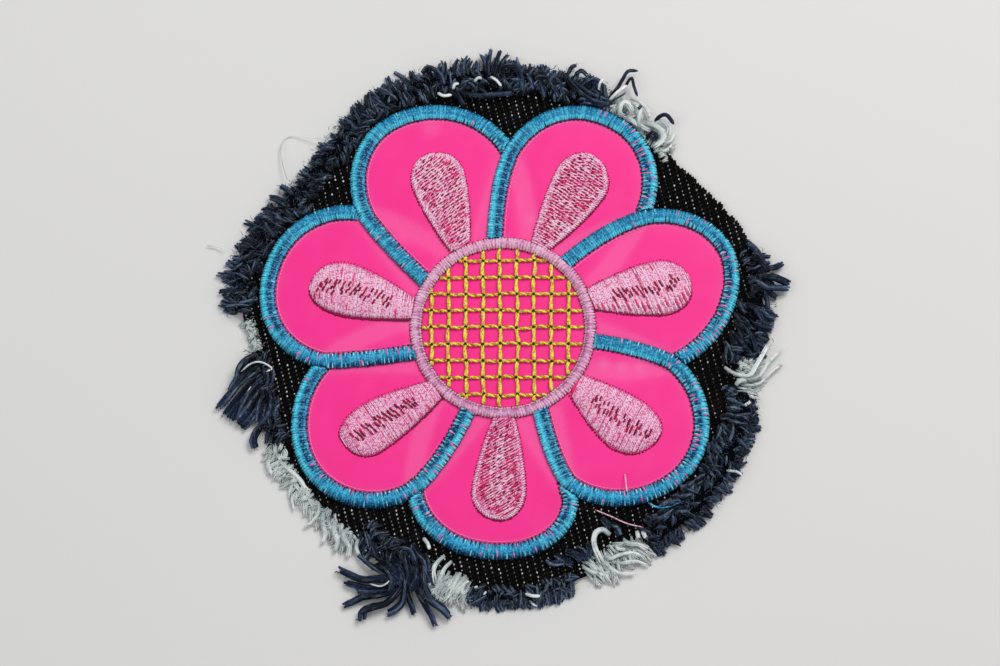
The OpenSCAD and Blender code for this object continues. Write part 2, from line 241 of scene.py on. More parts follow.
@dataclass(frozen=True)
class ThreadFinish:
    """Shiny embroidery thread, with painted shade at its ends where it dives into its needle holes."""

    name: str
    body: str
    deep: str
    light: str
    shaded_ends: float = 0.12
    roughness: float = 0.36
    fleck: float = 0.0
    fleck_size: float = 0.00042

    def material(self) -> bpy.types.Material:
        """Makes the thread's material.

        Returns:
            The material.
        """
        g = Graph(self.name)
        spot = g.noise(self.fleck_size, 1.0)
        colour = g.blend(g.tone(), self.body, self.light)
        colour = g.blend((spot > 0.55) * self.fleck, colour, self.light)
        colour = g.blend((spot < 0.43) * self.fleck, colour, self.deep)
        # Painted shade: both ends of each strand darken towards the deep colour
        stops = ((0, "ffffff"), (self.shaded_ends, "000000"), (1 - self.shaded_ends, "000000"), (1, "ffffff"))
        ends = g.wire("ShaderNodeSeparateColor", {0: g.ramp(g.stitch()[1], stops)})
        colour = g.blend(ends * 0.9, colour, self.deep)
        roughness = g.noise(0.0011, 3.0) * 0.2 + (self.roughness - 0.1)
        return g.finish(colour, roughness, 0.3, g.bump(g.fibre(9, 3, 1.5, 31), 0.5, 0.00008))


@dataclass(frozen=True)
class SatinFinish:
    """Satin thread with painted highlight and shade in bands, from a border's inner edge at 0 to its outer
    edge at 1.
    """

    name: str
    # Painted highlight and shade bands where the border faces up the picture, to the sides and down the
    # picture
    upper: tuple[tuple[float, str], ...]
    level: tuple[tuple[float, str], ...]
    lower: tuple[tuple[float, str], ...]
    # Colours of the painted highlight, and of the painted shade and the darker blotches
    light: str
    dark: str
    roughness: float = 0.24

    def material(self) -> bpy.types.Material:
        """Makes the thread's material.

        Returns:
            The material.
        """
        g = Graph(self.name)
        upper, level, lower = (g.ramp(g.stitch()[1], row) for row in (self.upper, self.level, self.lower))
        lot = g.wire("ShaderNodeMath", {0: g.tone() * 913.0}, operation="FRACT")
        blotch, speck = g.noise(0.0011), g.noise(0.00045, 1.0)
        # Tone picks the painted bands: up the picture at 1, to the sides at 0, down at -1
        colour = g.blend(0.0 - g.tone(), g.blend(g.tone(), level, upper), lower)
        # Darker random blotches, speckle painted as highlight and shade, and strands lighter or darker at
        # random
        for where, share, code in (
            (blotch > 0.57, 0.24, self.dark),
            (speck < 0.44, 0.4, self.dark),
            (speck > 0.58, 0.38, self.light),
            (lot > 0.76, 0.3, self.light),
            (lot < 0.2, 0.28, self.dark),
        ):
            colour = g.blend(where * share, colour, code)
        normal = g.bump(g.fibre(9, 3, 2, 31), 0.5, 0.00008)
        return g.finish(colour, blotch * 0.2 + self.roughness, 0.22, normal)


@dataclass(frozen=True)
class YarnFinish:
    """Soft dyed cotton, with painted shade where it is packed and a painted highlight that grows towards its
    tips.
    """

    name: str
    # Root is painted shade; tip and fleck are painted highlights
    root: str
    body: str
    edge: str
    tip: str
    fleck: str

    def material(self) -> bpy.types.Material:
        """Makes the yarn's material.

        Returns:
            The material.
        """
        g = Graph(self.name)
        along, fibre = g.stitch()[1], g.fibre(6, 4, 5, 57, 3.0)
        # Painted shade towards the packed root, painted highlight growing to the tip on the lit ply and in
        # fibre flecks, and darker random patches
        colour = g.ramp(along, ((0, self.root), (0.45, self.body), (1, self.edge)))
        colour = g.blend(g.tone() * (along * along * 0.6 + 0.3), colour, self.tip)
        colour = g.blend((fibre > 0.58) * (g.tone() * 0.4 + 0.1), colour, self.fleck)
        colour = g.blend((g.noise(0.004, 1.0) > 0.56) * 0.4, colour, self.root)
        return g.finish(colour, 0.95, 0.04, g.bump(fibre, 0.9, 0.0002), sheen=0.06)


@dataclass(frozen=True)
class VinylFinish:
    """Smooth hot-pink vinyl with a faint grain, and painted highlights in pale pink by its tone."""

    name: str = "pink_vinyl"

    def material(self) -> bpy.types.Material:
        """Makes the vinyl's material.

        Returns:
            The material.
        """
        g = Graph(self.name)
        grain = g.noise(0.00035)
        colour = g.blend(g.tone(), g.blend(g.noise(0.012), "fb268a", "ff3499"), "ffa0d0")
        return g.finish(colour, grain * 0.12 + 0.42, 0.25, g.bump(grain, 0.12, 0.00004))


@dataclass(frozen=True)
class DenimFinish:
    """Black cotton twill."""

    name: str = "black_denim"

    def material(self) -> bpy.types.Material:
        """Makes the denim's material.

        Returns:
            The material.
        """
        g = Graph(self.name)
        cotton = g.noise(0.0006, 3.0)
        colour = g.blend(cotton, "060607", "151314")
        colour = g.blend((g.noise(0.007) > 0.6) * 0.25, colour, "232226")
        return g.finish(colour, 0.9, 0.06, g.bump(cotton, 0.8, 0.0002))


@dataclass(frozen=True)
class PlainFinish:
    """A small detail of one colour with a little mottling."""

    name: str
    body: str
    other: str
    roughness: float = 0.6
    gloss: float = 0.5

    def material(self) -> bpy.types.Material:
        """Makes the detail's material.

        Returns:
            The material.
        """
        g = Graph(self.name)
        spots = g.noise(0.0008)
        colour = g.blend(g.tone() * (spots + 0.5), self.body, self.other)
        return g.finish(colour, self.roughness, self.gloss, g.bump(spots, 0.3, 0.0001))


# Painted highlight and shade bands of a satin border, from its inner edge at 0 to its outer edge at 1
TURQUOISE_UP = (
    (0, "0c2446"), (0.1, "2270a4"), (0.18, "62e6ff"), (0.32, "4cd8fa"), (0.41, "1c8cba"), (0.66, "1e88b8"),
    (0.78, "186a96"), (0.9, "103c62"), (1, "081a34"),
)
TURQUOISE_SIDE = (
    (0, "0c2446"), (0.11, "3c8abe"), (0.22, "4cc6f2"), (0.31, "08548c"), (0.38, "00264e"), (0.47, "013466"),
    (0.55, "2cb0dc"), (0.64, "66ecff"), (0.8, "5edafc"), (0.9, "3890c6"), (1, "0c2850"),
)
TURQUOISE_DOWN = (
    (0, "34508c"), (0.12, "5c84b8"), (0.26, "44a2d0"), (0.4, "2cacda"), (0.52, "28a0d0"), (0.61, "1c80b0"),
    (0.7, "165e94"), (0.8, "0c3468"), (1, "061430"),
)
RING_UP = ((0, "b0407c"), (0.12, "fcc8e2"), (0.5, "eca6cc"), (0.88, "f4bcda"), (1, "a8407a"))
RING_SIDE = (
    (0, "a0447e"), (0.08, "ffe0f0"), (0.22, "f6c8e2"), (0.3, "984880"), (0.4, "c678aa"), (0.54, "eeaad2"),
    (0.86, "f8c6e2"), (1, "964078"),
)
FINISHES = (
    SatinFinish("turquoise_thread", TURQUOISE_UP, TURQUOISE_SIDE, TURQUOISE_DOWN, "6ce0fa", "0a3c74"),
    SatinFinish("ring_thread", RING_UP, RING_SIDE, RING_SIDE, "ffe4f4", "b0588e", 0.36),
    VinylFinish(),
    DenimFinish(),
    ThreadFinish("light_pink_thread", "f070b4", "cc2468", "ffdcf0", shaded_ends=0.07, fleck=0.66),
    # turquoise_shine is the painted highlight on bright bunches of border strands
    ThreadFinish("turquoise_shine", "44cce8", "1c86b0", "b8f8ff", shaded_ends=0.15, roughness=0.3),
    ThreadFinish("gold_thread", "b86004", "4e2a04", "fff858", shaded_ends=0.15, roughness=0.32, fleck=0.45),
    YarnFinish("indigo_yarn", "04050a", "0c1120", "1e2e4c", "7c94b4", "a8b8cc"),
    YarnFinish("white_yarn", "a0acae", "dae2e1", "f2f6f5", "fdfffe", "b4bfc1"),
    # Depth colours paint the shade deep in a roll of yarn
    PlainFinish("indigo_depth", "020306", "060a12", 0.95, 0.05),
    PlainFinish("white_depth", "59666a", "7d898b", 0.95, 0.05),
    # Needle colours paint the shade in needle holes, and in the dark gaps and marks between stitches
    PlainFinish("needle_shade_navy", "081226", "0d2444"),
    PlainFinish("needle_shade_magenta", "6e0a3a", "b8184e", 0.6, 0.2),
    PlainFinish("needle_shade_brown", "260d02", "421a04", 0.7, 0.2),
    PlainFinish("vinyl_peep", "ff3f9f", "ff8fc6", 0.4),
    PlainFinish("weft_white", "1a1918", "f2efe8", 0.85),
    PlainFinish("drop_base", "ff3480", "cc1a5c", 0.5, 0.2),
    PlainFinish("ring_base", "c47cac", "a8608c", 0.6, 0.2),
    # border_base is painted shade in the gaps under the border's strands
    PlainFinish("border_base", "0e5c8e", "0a3a68", 0.6, 0.2),
)


# Points and strands


def polar(bearing: Array | float, reach: Array | float) -> Array:
    """Point at a bearing in degrees and a reach from the centre."""
    angle = np.radians(bearing)
    return np.stack(np.broadcast_arrays(reach * np.cos(angle), reach * np.sin(angle)), axis=-1)


def bearing_of(points: Array) -> Array:
    """Bearing of points from the centre, in degrees."""
    return np.degrees(np.arctan2(points[..., 1], points[..., 0]))


def reach_of(points: Array) -> Array:
    """Reach of points from the centre."""
    return np.hypot(points[..., 0], points[..., 1])


def raised(flat: Array, z: Array | float) -> Array:
    """Gives flat points their heights."""
    return np.concatenate([flat, np.broadcast_to(z, flat.shape[:-1])[..., None]], axis=-1)


def unit(ways: Array) -> Array:
    """Directions of length one."""
    return ways / (np.linalg.norm(ways, axis=-1, keepdims=True) + 1e-9)


def rightward(heading: Array) -> Array:
    """Directions to the right of directions of travel."""
    return np.stack([heading[:, 1], -heading[:, 0]], axis=1)


def points_of(mesh: bpy.types.Mesh) -> Array:
    """Reads a mesh's points.

    Args:
        mesh: The mesh.

    Returns:
        The points, one in each row.
    """
    co = np.empty(len(mesh.vertices) * 3)
    mesh.vertices.foreach_get("co", co)
    return co.reshape(-1, 3)


def set_tone(mesh: bpy.types.Mesh, values: Array) -> None:
    """Gives a mesh its tone numbers, one for each point: random, or the share of painted highlight and shade.
    """
    mesh.attributes.new("tone", "FLOAT", "POINT").data.foreach_set("value", values)


def rounded(rings: int, ends: float, power: float = 2.5) -> Array:
    """Widths along a strand that narrow to ends at both ends, squarer with a higher power."""
    t = np.abs(np.linspace(-1, 1, rings))
    return ends + (1 - ends) * (1 - t**power) ** (1 / power)


def spaced(path: Array, pitch: float) -> tuple[Array, Array, Array]:
    """Walks along a path in equal steps.

    Args:
        path: Its points.
        pitch: Length of a step.

    Returns:
        The points, the direction of travel at each, and the direction to its right.
    """
    steps = np.linalg.norm(np.diff(path, axis=0), axis=1)
    total = np.concatenate([[0.0], np.cumsum(steps)])
    at = np.linspace(0, total[-1], max(2, int(round(total[-1] / pitch))))
    points = np.stack([np.interp(at, total, path[:, i]) for i in (0, 1)], axis=1)
    heading = unit(np.gradient(points, axis=0))
    return points, heading, rightward(heading)


def smooth(points: Array, count: int) -> Array:
    """Runs a smooth line through points.

    Args:
        points: The points.
        count: Points on the line.

    Returns:
        The line.
    """
    ends = np.concatenate([[2 * points[0] - points[1]], points, [2 * points[-1] - points[-2]]])
    at = np.linspace(0, len(points) - 1 - 1e-6, count)
    k, t = at.astype(int), (at % 1)[:, None]
    a, b, c, d = ends[k], ends[k + 1], ends[k + 2], ends[k + 3]
    return 0.5 * (2 * b + (c - a) * t + (2 * a - 5 * b + 4 * c - d) * t**2 + (3 * b - 3 * c + d - a) * t**3)


def waves(x: Array, y: Array, pitch: float, seed: int) -> Array:
    """Smooth random height made of a few crossing waves.

    Args:
        x: Places along X in millimetres.
        y: Places along Y.
        pitch: Rough distance between crests.
        seed: Seed of the waves.

    Returns:
        Heights between about -1 and 1.
    """
    rng = np.random.default_rng(seed)
    total = np.zeros_like(x)
    for _ in range(7):
        turn, shift = rng.uniform(0, 2 * math.pi, 2)
        size = pitch * rng.uniform(0.6, 1.7)
        total += np.sin(2 * math.pi * (x * math.cos(turn) + y * math.sin(turn)) / size + shift)
    return total / 4


@dataclass
class StrandPattern:
    """One straight strand, kept as arrays, that is bent along every stitch."""

    ring: Array
    across: Array
    upward: Array
    corners: Array
    starts: Array
    uv: Array
    rings: int

    @staticmethod
    def model(sides: int, rings: int) -> "StrandPattern":
        """Models the strand as a cylinder with rings cut round it.

        Args:
            sides: Faces round it.
            rings: Rings along it, its two ends included.

        Returns:
            The pattern.
        """
        bpy.ops.object.select_all(action="DESELECT")
        bpy.ops.mesh.primitive_cylinder_add(
            vertices=sides, radius=1, depth=1, end_fill_type="NGON", location=(0, 0, 0.5)
        )
        strand = bpy.context.object
        bpy.ops.object.transform_apply(location=True, rotation=True, scale=True)
        mesh = strand.data
        bpy.context.tool_settings.mesh_select_mode = (False, True, False)
        bpy.ops.object.mode_set(mode="EDIT")
        bpy.ops.mesh.select_all(action="DESELECT")
        bpy.ops.object.mode_set(mode="OBJECT")
        for edge in mesh.edges:
            low, high = sorted(mesh.vertices[i].co.z for i in edge.vertices)
            edge.select = high - low > 0.5
        bpy.ops.object.mode_set(mode="EDIT")
        bpy.ops.mesh.subdivide(number_cuts=rings - 2)
        bpy.ops.object.mode_set(mode="OBJECT")
        mesh = strand.data
        co = points_of(mesh)
        corners = np.empty(len(mesh.loops), dtype=np.int32)
        mesh.loops.foreach_get("vertex_index", corners)
        starts = np.empty(len(mesh.polygons), dtype=np.int32)
        mesh.polygons.foreach_get("loop_start", starts)
        turn = np.arctan2(co[:, 1], co[:, 0]) / (2 * math.pi) % 1.0
        uv = np.stack([turn[corners], co[corners, 2]], axis=1)
        # A face over the seam takes its corners from one side of it
        for first, last in zip(starts, np.append(starts[1:], len(corners))):
            part = uv[first:last, 0]
            if part.max() - part.min() > 0.5:
                uv[first:last, 0] = np.where(part < 0.5, part + 1.0, part)
        ring = np.rint(co[:, 2] * (rings - 1)).astype(np.int32)
        bpy.data.objects.remove(strand, do_unlink=True)
        return StrandPattern(ring, co[:, 0], co[:, 1], corners, starts, uv, rings)

    def bend(self, spine: Array, wide: Array, high: Array, belly: float) -> Array:
        """Lays the pattern along many spines.

        Args:
            spine: Middle points, shaped (strands, rings, 3), in millimetres.
            wide: Half widths, shaped (strands, rings).
            high: Half heights, shaped the same.
            belly: Share of the half height that stays below the spine.

        Returns:
            The points, shaped (strands, points, 3).
        """
        along = unit(np.gradient(spine, axis=1))
        side = np.cross(UP, along)
        size = np.linalg.norm(side, axis=2, keepdims=True)
        side = np.where(size > 1e-3, side / (size + 1e-9), np.array([1.0, 0.0, 0.0]))
        lift = np.cross(along, side)
        upward = np.where(self.upward < 0, self.upward * belly, self.upward)
        return (
            spine[:, self.ring]
            + (self.across * wide[:, self.ring])[..., None] * side[:, self.ring]
            + (upward * high[:, self.ring])[..., None] * lift[:, self.ring]
        )


@dataclass
class Bundle:
    """Bent strands that become one mesh."""

    name: str
    # Points, corners, starts of faces, UVs, tones and slots of each lot of strands
    lots: list[tuple[Array, ...]] = field(default_factory=list)
    points: int = 0
    loops: int = 0

    def add(
        self,
        pattern: StrandPattern,
        spine: Array,
        wide: Array,
        high: Array,
        tone: Array | float,
        slot: int = 0,
        belly: float = 1.0,
    ) -> None:
        """Adds strands.

        Args:
            pattern: The straight strand.
            spine: Middle points, shaped (strands, rings, 3), in millimetres.
            wide: Half widths by strand and ring.
            high: Half heights by strand and ring.
            tone: One number for each strand, random or picking its painted highlight and shade, or one for
                all.
            slot: Material slot.
            belly: Share of the half height that stays below the spine.
        """
        count = len(spine)
        if not count:
            return
        shape = (count, pattern.rings)
        made = pattern.bend(spine, np.broadcast_to(wide, shape), np.broadcast_to(high, shape), belly)
        each = len(pattern.ring)
        number = np.arange(count)[:, None]
        corners = pattern.corners + self.points + number * each
        starts = pattern.starts + self.loops + number * len(pattern.corners)
        tones = np.repeat(np.broadcast_to(tone, count), each)
        slots = np.full(starts.size, slot, dtype=np.int32)
        uvs = np.tile(pattern.uv, (count, 1))
        self.lots.append((made.reshape(-1, 3), corners.ravel(), starts.ravel(), uvs, tones, slots))
        self.points += count * each
        self.loops += count * len(pattern.corners)

    def marks(
        self,
        pattern: StrandPattern,
        middle: Array,
        way: Array,
        z: Array | float,
        wide: Array | float,
        high: Array | float,
        tone: Array | float,
        slot: int,
        ends: float,
        power: float = 2.5,
    ) -> None:
        """Adds short straight strands.

        Args:
            pattern: The straight strand.
            middle: Middle of each, shaped (strands, 2).
            way: From one end of each to the other.
            z: Heights, one for all, by ring, or by strand and ring.
            wide: Half widths, one for all or shaped (strands, 1).
            high: Half heights, the same.
            tone: One number for each, random or picking its painted highlight and shade, or one for all.
            slot: Material slot.
            ends: Width left at the very end.
            power: How square each is.
        """
        flat = middle[:, None] + way[:, None] * np.linspace(-0.5, 0.5, pattern.rings)[:, None]
        profile = rounded(pattern.rings, ends, power)
        self.add(pattern, raised(flat, z), profile * wide, profile * high, tone, slot)

    def make(self, materials: list[bpy.types.Material]) -> bpy.types.Object:
        """Makes the object.

        Args:
            materials: One for each slot.

        Returns:
            The object, at the origin.
        """
        places, corners, starts, uvs, tones, slots = (np.concatenate(column) for column in zip(*self.lots))
        mesh = bpy.data.meshes.new(self.name)
        mesh.vertices.add(self.points)
        mesh.vertices.foreach_set("co", (places * MM).ravel())
        mesh.loops.add(self.loops)
        mesh.loops.foreach_set("vertex_index", corners)
        mesh.polygons.add(len(starts))
        mesh.polygons.foreach_set("loop_start", starts)
        mesh.polygons.foreach_set("material_index", slots)
        mesh.update(calc_edges=True)
        mesh.shade_smooth()
        mesh.uv_layers.new(name="stitch").data.foreach_set("uv", uvs.ravel())
        set_tone(mesh, tones)
        mesh.validate()
        made = bpy.data.objects.new(self.name, mesh)
        bpy.context.collection.objects.link(made)
        for material in materials:
            mesh.materials.append(material)
        return made


# Outlines of the flower


@dataclass(frozen=True)
class Lobe:
    """A petal's or a drop's outline, in millimetres along and across its axis, and degrees."""

    name: str
    axis: float
    tip: float
    wide_ccw: float
    half_ccw: float
    wide_cw: float
    half_cw: float
    full: float
    foot_ccw: float
    foot_cw: float
    bow_ccw: float
    bow_cw: float

    def point(self, along: Array, across: Array) -> Array:
        """The patch's points at places along and across the lobe's axis."""
        c, s = math.cos(math.radians(self.axis)), math.sin(math.radians(self.axis))
        return np.stack([along * c - across * s, along * s + across * c], axis=-1)

    def half(self, side: int, steps: int, foot_r: float) -> Array:
        """One side of the outline, from its foot to its tip.

        Args:
            side: 1 for counter-clockwise, -1 for clockwise.
            steps: Steps on the flank, and on the cap.
            foot_r: Radius at which the flank starts.

        Returns:
            Distances along the axis and across it.
        """
        ccw = (self.wide_ccw, self.half_ccw, self.foot_ccw, self.bow_ccw)
        wide, width, foot, bow = ccw if side > 0 else (self.wide_cw, self.half_cw, self.foot_cw, self.bow_cw)
        start = math.sqrt(foot_r**2 - foot**2) if foot_r > foot else 0.0
        s = np.linspace(0, 1, steps + 1)
        flank = [start + s * (wide - start), side * (foot + (width - foot) * (1 - (1 - s) ** bow))]
        quarter, power = s[1:] * math.pi / 2, 2 / self.full
        far = wide + (self.tip - wide) * np.sin(quarter) ** power
        cap = [far, side * width * np.clip(np.cos(quarter), 0, 1) ** power]
        return np.concatenate([flank, cap], axis=1).T

    def outline(self, foot_r: float) -> Array:
        """The whole outline of points, from the clockwise foot round the tip to the other foot."""
        both = np.concatenate([self.half(-1, 60, foot_r), self.half(1, 60, foot_r)[-2::-1]])
        return self.point(both[:, 0], both[:, 1])


PETALS = (
    Lobe("top_left", 117.4, 60.3, 41, 17.4, 39, 22.4, 2, 11, 10, 1.3, 1.8),
    Lobe("top_right", 63, 60.4, 40.7, 18.9, 40.4, 18.2, 2.1, 11.2, 10, 1.5, 1.8),
    Lobe("right", 18.2, 59.5, 41.1, 16, 35.8, 21.7, 1.9, 10, 10, 1.8, 1.8),
    Lobe("lower_right", -37.2, 57.7, 39, 18.3, 37, 21.6, 1.9, 9.8, 9.5, 1.4, 1.4),
    Lobe("bottom", -91.9, 56.5, 43, 18.1, 39.5, 20.6, 2.1, 9.4, 10, 1.1, 1.8),
    Lobe("lower_left", -141.4, 59.5, 41.9, 18.1, 38, 20.9, 1.9, 10, 10, 1.6, 1.8),
    Lobe("left", 167.1, 60, 41.9, 18.4, 39.7, 20.9, 2.1, 10.2, 10, 1.2, 1.8),
)
# Petals that lie over each one
OVER = ((1,), (2,), (3,), (), (3, 5), (6,), (0,))

DROPS = (
    Lobe("top_left", 108.4, 26.3, 18.7, 6.4, 19.4, 7.3, 2.1, 2.5, 2.5, 1.5, 1.5),
    Lobe("top_right", 60.4, 27.5, 19.7, 6.2, 19.6, 7.8, 2, 2.4, 2.4, 1.5, 1.5),
    Lobe("right", 6.6, 25.8, 17.8, 7.7, 18, 6.4, 2.2, 2.7, 2.7, 1.5, 1.5),
    Lobe("lower_right", -33.1, 24.9, 15.5, 5.4, 16.2, 8.8, 2.2, 2.8, 2.8, 1.5, 1.5),
    Lobe("bottom", -93, 26, 18.5, 6.3, 19, 7.1, 2, 2.7, 2.7, 1.5, 1.5),
    Lobe("lower_left", -152.2, 26.8, 20.3, 7.6, 16.4, 5.3, 2.1, 2.7, 2.7, 1.5, 1.5),
    Lobe("left", 166.3, 26.7, 17.3, 5.8, 18.1, 7.8, 2.2, 2.7, 2.7, 1.5, 1.5),
)


@dataclass(frozen=True)
class Sewing:
    """How one drop is sewn."""

    # Bearing at which its root meets the ring
    root: float
    fill: Fill
    # Slope of its rows, and of the painted-shade marks down its middle, along the axis for each step across
    slant: float
    mark: float = 0.0
    # Share of duskier stitches, and how much it grows from the middle towards the sides and the root
    dusk: float = 0.38
    sides: float = 0.0
    # Weight of the painted shade marks along its low edge, and bold stitches on its low half
    low_edge_shade: float = 1.0
    bold: bool = False


SEWING = (
    Sewing(118.1, Fill.OPEN, -0.6),
    Sewing(66.2, Fill.OPEN, -0.2),
    Sewing(19.3, Fill.COLUMNS, -0.33, -0.43, bold=True),
    Sewing(-38.6, Fill.COLUMNS, -0.11, -0.11, dusk=0.44),
    Sewing(-89.2, Fill.OPEN, -0.85, dusk=0.2, sides=1.3),
    Sewing(-136.2, Fill.COLUMNS, -0.1, -0.35, dusk=0.52),
    Sewing(168.2, Fill.COLUMNS, -0.12, 0.3, low_edge_shade=1.7),
)

# Bearing and reach of the denim's cut edge
EDGE = (
    (0, 64), (6, 65), (12, 66), (20, 66), (25, 65), (30, 63.2), (35, 62.2), (40, 61.7),
    (47, 61), (55, 62.4), (64, 64.2), (75, 65.4), (88, 65), (100, 66), (110, 66.4),
    (118, 66), (127, 64), (135, 62.2), (142, 61.4), (150, 62.2), (158, 65), (166, 67),
    (174, 67), (180, 63.8), (186, 61.8), (195, 61.6), (203, 62.6), (210, 63.2), (220, 63.4),
    (228, 63), (236, 64.2), (244, 66), (254, 67), (264, 67.6), (275, 67.5), (284, 66),
    (295, 65), (305, 65.5), (315, 66.5), (325, 66.6), (333, 65.6), (340, 65), (346, 62.6),
    (352, 61.6), (360, 64),
)


def edge_reach(bearing: Array) -> Array:
    """Reach of the denim's cut edge at bearings, with its corners rounded off."""
    turns = [np.mod(bearing + shift, 360) for shift in (-3, 0, 3)]
    return sum(np.interp(turn, *zip(*EDGE)) for turn in turns) / 3


class Flower:
    """Answers where the flower's petals are."""

    def __init__(self) -> None:
        """Takes the outlines once."""
        self.areas = [petal.outline(RING_R / 2) for petal in PETALS]
        self.bins = np.arange(0.0, 361.0, 0.5)
        self.centre_reach = self._reach(0.0)
        self.border_reach = self._reach(BORDER_W / 2)

    def _reach(self, grow: float) -> Array:
        """Measures the reach of all petals together.

        Args:
            grow: How far their outlines are grown outwards.

        Returns:
            The reach in steps of half a degree.
        """
        most = np.zeros(len(self.bins))
        for area in self.areas:
            fine, _, _ = spaced(area + grow * rightward(unit(np.gradient(area, axis=0))), 0.1)
            np.maximum.at(most, np.rint(bearing_of(fine) % 360 * 2).astype(int), reach_of(fine))
        most[0] = most[-1] = max(most[0], most[-1])
        return most

    def reach(self, bearing: Array, border: bool = True) -> Array:
        """Reach of the flower at bearings, with or without its border's outer half."""
        return np.interp(np.mod(bearing, 360), self.bins, self.border_reach if border else self.centre_reach)

    def depth(self, points: Array, k: int) -> Array:
        """Distance from points to petal k's outline, positive inside it.

        Args:
            points: Shaped (points, 2).
            k: The petal's number.

        Returns:
            One distance for each point.
        """
        a = self.areas[k]
        edge = np.roll(a, -1, axis=0) - a
        size = np.maximum((edge**2).sum(axis=1), 1e-12)
        away = np.full(len(points), 1e9)
        inside = np.zeros(len(points), dtype=bool)
        px, py = points[:, 0], points[:, 1]
        for (ax, ay), (ex, ey), s in zip(a, edge, size):
            dx, dy = px - ax, py - ay
            t = np.clip((dx * ex + dy * ey) / s, 0, 1)
            away = np.minimum(away, (dx - t * ex) ** 2 + (dy - t * ey) ** 2)
            if ey:
                inside ^= ((dy < 0) != (dy < ey)) & (dx < dy * ex / ey)
        return np.where(inside, 1.0, -1.0) * np.sqrt(away)


# Soft sheets


def cut_cloth(
    name: str, reach: Array, bins: Array, cells: int, top: float, thick: float
) -> bpy.types.Object:
    """Cuts a flat sheet to an outline that is given by bearing.

    Args:
        name: The object's name.
        reach: Reach of the outline in each bin, in millimetres.
        bins: The bins' bearings in degrees.
        cells: Squares along one side of the grid.
        top: Height of the upper face in millimetres.
        thick: Thickness in millimetres.

    Returns:
        The sheet, one face thick, with its edge on the outline.
    """
    bpy.ops.object.select_all(action="DESELECT")
    bpy.ops.mesh.primitive_grid_add(x_subdivisions=cells, y_subdivisions=cells, size=2)
    sheet = bpy.context.object
    sheet.name = sheet.data.name = name
    u, v, _ = points_of(sheet.data).T
    flat = np.stack([u * np.sqrt(1 - v**2 / 2), v * np.sqrt(1 - u**2 / 2)], axis=1)
    flat *= np.interp(bearing_of(flat) % 360, bins, reach)[:, None]
    sheet.data.vertices.foreach_set("co", (raised(flat, top - thick) * MM).ravel())
    sheet.data.update()
    return sheet


def thicken(sheet: bpy.types.Object, thick: float) -> None:
    """Gives a sheet its thickness upwards and rounds its shading.

    Args:
        sheet: The sheet.
        thick: Thickness in millimetres.
    """
    bpy.ops.object.select_all(action="DESELECT")
    sheet.select_set(True)
    bpy.context.view_layer.objects.active = sheet
    wall = sheet.modifiers.new("wall", "SOLIDIFY")
    wall.thickness, wall.offset = thick * MM, 1.0
    bpy.ops.object.modifier_apply(modifier=wall.name)
    bpy.ops.object.shade_smooth_by_angle(angle=math.radians(50))


@dataclass
class Workshop:
    """Patterns and materials that the pieces share."""

    flower: Flower
    fine: StrandPattern
    stitch: StrandPattern
    bead: StrandPattern
    lump: StrandPattern
    ply: StrandPattern
    hair: StrandPattern
    cord: StrandPattern
    core: StrandPattern
    materials: dict[str, bpy.types.Material]

    @staticmethod
    def open() -> "Workshop":
        """Models the patterns and mixes the finishes.

        Returns:
            The workshop.
        """
        # Sides and rings of the patterns, in the order of the fields
        sizes = ((5, 7), (5, 5), (5, 3), (4, 4), (3, 6), (3, 3), (5, 12), (12, 64))
        patterns = [StrandPattern.model(sides, rings) for sides, rings in sizes]
        return Workshop(Flower(), *patterns, {finish.name: finish.material() for finish in FINISHES})

    def pick(self, *names: str) -> list[bpy.types.Material]:
        """The materials of these names."""
        return [self.materials[name] for name in names]


def hand_in(piece: bpy.types.Object, slot: str, *nodes: str) -> None:
    """Rides a piece on the patch, and hides the nodes of the source that it stands for.

    Args:
        piece: The piece.
        slot: The record's material slot. It is not used.
        nodes: Nodes of the source that it replaces.
    """
    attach(piece, "root")
    if nodes:
        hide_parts(*nodes)
    faces = sum(len(p.vertices) - 2 for p in piece.data.polygons)
    LOG.info("%s: %d triangles", piece.name, faces)


# Denim and vinyl


